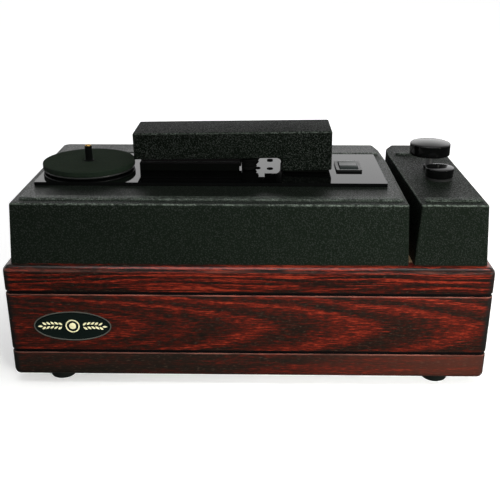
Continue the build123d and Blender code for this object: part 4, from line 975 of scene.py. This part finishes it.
s = Shape()
top = []
for k in range(13):                                 # front facet, rounding down to the front
    q = k / 12
    top.append((-12.55 + 12.15 * q, ZD + 3.32 - 2.25 * (1 - q) ** 1.9))
for k in range(1, 9):                               # low ridge and rear facet
    q = k / 8
    top.append((-0.4 + 11.9 * q, ZD + 3.32 + 0.75 * q - 0.10 * sin(math.pi * q)))
prof = [(-12.6, ZD - 0.6)] + top + [(11.95, ZD + 3.9), (12.35, ZD + 0.6), (4.5, ZD - 4.4), (-4.5, ZD - 4.4)]
loops = []
for d, dx in ((0.5, 0.0), (0.14, 0.12), (0.0, 0.5)):
    loops.append((d, SWX - 8.7 + dx))
for d, dx in ((0.0, 0.5), (0.14, 0.12), (0.5, 0.0)):
    loops.append((d, SWX + 8.7 - dx))
cy = sum(p[0] for p in prof) / len(prof)
cz = sum(p[1] for p in prof) / len(prof)
rows = []
for d, x in loops:
    row = []
    for i, (a, b) in enumerate(prof):
        pa, pb = prof[i - 1], prof[(i + 1) % len(prof)]
        nx, nz = -(pb[1] - pa[1]), (pb[0] - pa[0])
        ln = math.hypot(nx, nz) or 1.0
        if (cy - a) * nx + (cz - b) * nz < 0:
            nx, nz = -nx, -nz
        row.append((x, SWY + a + d * nx / ln * 0.6, b + d * nz / ln * 0.6))
    rows.append(row)
ids = s.skin(rows)
s.fill(ids[0], axes=(1, 2), mat=1)
s.fill(ids[-1], axes=(1, 2), mat=1)
pin_a = s.skin([[(x, SWY + 1.0 * cos(2 * math.pi * k / 20), 177.0 + 1.0 * sin(2 * math.pi * k / 20)) for k in range(20)]
                for x in (SWX - 9.9, SWX + 9.9)])
s.face(pin_a[0])
s.face(pin_a[1])
make("rocker_cap", s, "rocker", ("switch_rocker",), (M["rocker"], M["hole"]), angle=24)

# deck screws: low black heads with a socket
s = Shape()
for sx, sy in ((20.0, -1.8), (7.6, 0.2)):
    lathe(s, sx, sy, [(0.0, ZD - 8.0), (1.6, ZD - 8.0), (1.6, ZD - 1.5), (2.95, ZD - 0.05), (3.1, ZD + 0.1), (3.0, ZD + 0.5), (2.6, ZD + 0.68), (1.5, ZD + 0.74),
                      (1.35, ZD + 0.1), (0.0, ZD + 0.1)], 36)
make("deck_screw_heads", s, "root", ("deck_screws",), (M["hole"],), angle=40)

# ---------------------------------------------------------------- pump knob and filler cap
s = Shape()
kr, kb, kt = 19.85, 190.0, 201.3
big = (kr * kr + 1.9 * 1.9) / 3.8
prof = [(0.0, 197.0), (3.2, 197.0), (3.2, kb + 0.9), (7.5, kb + 0.9), (7.9, kb), (kr - 0.9, kb), (kr - 0.35, kb + 0.12), (kr - 0.08, kb + 0.4),
        (kr, kb + 0.9), (kr, kt - 0.75), (kr - 0.06, kt - 0.40), (kr - 0.25, kt - 0.12), (kr - 0.60, kt + 0.05)]
prof += [(r, kt + 1.9 - big + math.sqrt(big * big - r * r)) for r in (18.0, 16.0, 14.0, 12.0, 10.0, 8.0, 6.0, 4.0, 2.0)] + [(0.0, kt + 1.9)]
lathe(s, PUX, PUY, prof, 144)
make("knob", s, "pump", ("pump_knob",), (M["knob"],), angle=42)

s = Shape()
cr, cb, ct = 13.45, 178.6, 187.2
big = (cr * cr + 0.9 * 0.9) / 1.8
prof = [(9.65, 183.6), (9.65, cb + 0.4), (10.0, cb), (cr - 0.7, cb), (cr - 0.2, cb + 0.2), (cr, cb + 0.7), (cr, ct - 0.6), (cr - 0.06, ct - 0.30),
        (cr - 0.25, ct - 0.06), (cr - 0.5, ct + 0.02)]
prof += [(r, ct + 0.9 - big + math.sqrt(big * big - r * r)) for r in (12.0, 10.0, 8.0, 6.0, 4.0, 2.0)] + [(0.0, ct + 0.9)]
lathe(s, CPX, CPY, prof + [(0.0, 183.6)], 112)
cap = make("cap", s, "filler_cap", ("filler_cap",), (M["knob"],), angle=42)

# return spring of the pump: five turns of wire
s = Shape()
spring_z = [(nodes["pump_spring"].matrix_world @ v.co).z / S for v in nodes["pump_spring"].data.vertices]
wire, low, high = 0.45, min(spring_z) + 0.47, max(spring_z) - 0.47
rings = []
for k in range(5 * 28 + 1):
    a = 2 * math.pi * k / 28
    side = [(wire * math.cos(math.pi * j / 4), wire * math.sin(math.pi * j / 4)) for j in range(8)]
    rings.append([(PUX + (4.2 + u) * math.cos(a), PUY + (4.2 + u) * math.sin(a), low + (high - low) * k / 140 + q) for u, q in side])
ids = s.skin(rings)
s.face(ids[0])
s.face(ids[-1])
coil = make("return_spring", s, "root", ("pump_spring",), (M["steel"],), angle=50, weld=0.0005)
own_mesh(coil)

# ---------------------------------------------------------------- finishes of the CAD parts that stay
finish_of = {
    "raw": ("corner_blocks", "shelf", "bottom_panel"),
    "deck": ("deck_plate",),
    "steel": ("platter_shaft", "shaft_clip", "motor_shaft", "drive_motor", "motor_bracket", "hinge_pin", "wood_screws",
              "pump_plunger", "blower_case", "blower_motor", "blower_shaft"),
    "brass": ("bearing_bush", "motor_pulley", "inlet_pins"),
    "matte": ("platter_pulley", "pump_barrel", "filler_neck", "mains_inlet"),
    "hole": ("lower_nozzle", "upper_nozzle", "fluid_outlet"),
    "rubber": ("drive_belt", "drain_cap"),
    "black_metal": ("hinge_leaf_fixed", "hinge_leaf_moving", "hinge_screws", "machine_screws"),
    "clear": ("fluid_tank", "fluid_tube", "waste_tank"),
    "grey": ("vacuum_pipe", "vacuum_manifold"),
    "alu": ("impeller",),
}
for key, names in finish_of.items():
    for nm in names:
        me = nodes[nm].data
        me.materials.clear()
        me.materials.append(M[key])

# ---------------------------------------------------------------- floor, light, camera
def area(name, loc, aim, sx, sy, power, colour=(1, 1, 1), mirrored=True, spread=180):
    d = bpy.data.lights.new(name, "AREA")
    d.shape, d.size, d.size_y, d.energy, d.color, d.spread = "RECTANGLE", sx, sy, power, colour, rad(spread)
    o = bpy.data.objects.new(name, d)
    o.location = loc
    o.rotation_euler = (Vector(aim) - Vector(loc)).to_track_quat("-Z", "Y").to_euler()
    o.visible_glossy = mirrored
    bpy.context.collection.objects.link(o)
    return o


fm = Mat("floor_paper")
fn = fm.noise(3.0, 3.0, 0.5)
fm.set(Base_Color=fm.mix(fn, (0.86, 0.86, 0.86), (0.90, 0.90, 0.90)), Roughness=0.9, Specular_IOR_Level=0.0,
       Emission_Color=(1.0, 1.0, 1.0), Emission_Strength=fm.remap(fm.xyz()[1], -0.3, 1.2, 0.20, 0.75))
me = bpy.data.meshes.new("floor")
rows = []
for k in range(13):                                 # flat paper that sweeps up behind
    if k < 4:
        rows.append((-4.0 + k * 2.2, 0.0))
    else:
        a = rad((k - 4) * 90 / 8)
        rows.append((2.6 + 2.2 * sin(a), 2.2 - 2.2 * cos(a)))
rows.append((4.8, 5.0))
vs = [(x, y, z - 0.0002) for y, z in rows for x in (-6.0, 6.0)]
me.from_pydata(vs, [], [(2 * i, 2 * i + 1, 2 * i + 3, 2 * i + 2) for i in range(len(rows) - 1)])
me.materials.append(fm.m)
me.shade_smooth()
floor = bpy.data.objects.new("floor", me)
bpy.context.collection.objects.link(floor)
floor.visible_glossy = False            # the gloss mirrors the studio round the table, not the paper
floor.visible_diffuse = False           # the paper throws no light up at the front

area("overhead", (0.12, -0.16, 1.55), (0.06, -0.02, 0.15), 1.5, 1.0, 14.0)
area("right_strip", (1.35, -1.15, 0.50), (0.1, 0.0, 0.14), 0.26, 0.8, 3.2, (1.0, 0.97, 0.86))
area("front_fill", (0.50, -0.95, 0.34), (0.09, 0.0, 0.12), 0.40, 0.36, 3.1, (1.0, 1.0, 0.97), False, 66)

w = bpy.data.worlds.new("studio")
w.use_nodes = True
wt = w.node_tree
way = wt.nodes.new("ShaderNodeSeparateXYZ")
wt.links.new(wt.nodes.new("ShaderNodeTexCoord").outputs["Generated"], way.inputs[0])
lift = wt.nodes.new("ShaderNodeMapRange")
lift.inputs[1].default_value, lift.inputs[2].default_value = -1.0, 1.0
wt.links.new(way.outputs[2], lift.inputs[0])
band = wt.nodes.new("ShaderNodeValToRGB")
e = band.color_ramp.elements
while len(e) < 6:
    e.new(0.5)
for el, (pos, v) in zip(e, ((0.0, 0.03), (0.492, 0.04), (0.5, 1.0), (0.66, 1.0), (0.80, 0.22), (1.0, 0.16))):
    el.position, el.color = pos, (v, v, v, 1.0)
wt.links.new(lift.outputs[0], band.inputs[0])
turn = wt.nodes.new("ShaderNodeMapRange")
for k, v in enumerate((None, -0.5, 0.5, 0.50, 1.30)):
    if v is not None:
        turn.inputs[k].default_value = v
wt.links.new(way.outputs[1], turn.inputs[0])
wt.links.new(band.outputs[0], wt.nodes["Background"].inputs[0])
wt.links.new(turn.outputs[0], wt.nodes["Background"].inputs[1])
bpy.context.scene.world = w
bpy.context.scene.view_settings.view_transform = "Standard"
bpy.context.scene.view_settings.look = "None"

cam_data = bpy.data.cameras.new("camera")
cam_data.sensor_width, cam_data.lens = 36.0, 55.84
cam_data.clip_start, cam_data.clip_end = 0.01, 50.0
cam = bpy.data.objects.new("camera", cam_data)
cam.location = (0.0123, -0.7459, 0.3951)
cam.rotation_euler = (rad(67.825), rad(0.0), rad(0.933))
bpy.context.collection.objects.link(cam)
bpy.context.scene.camera = cam
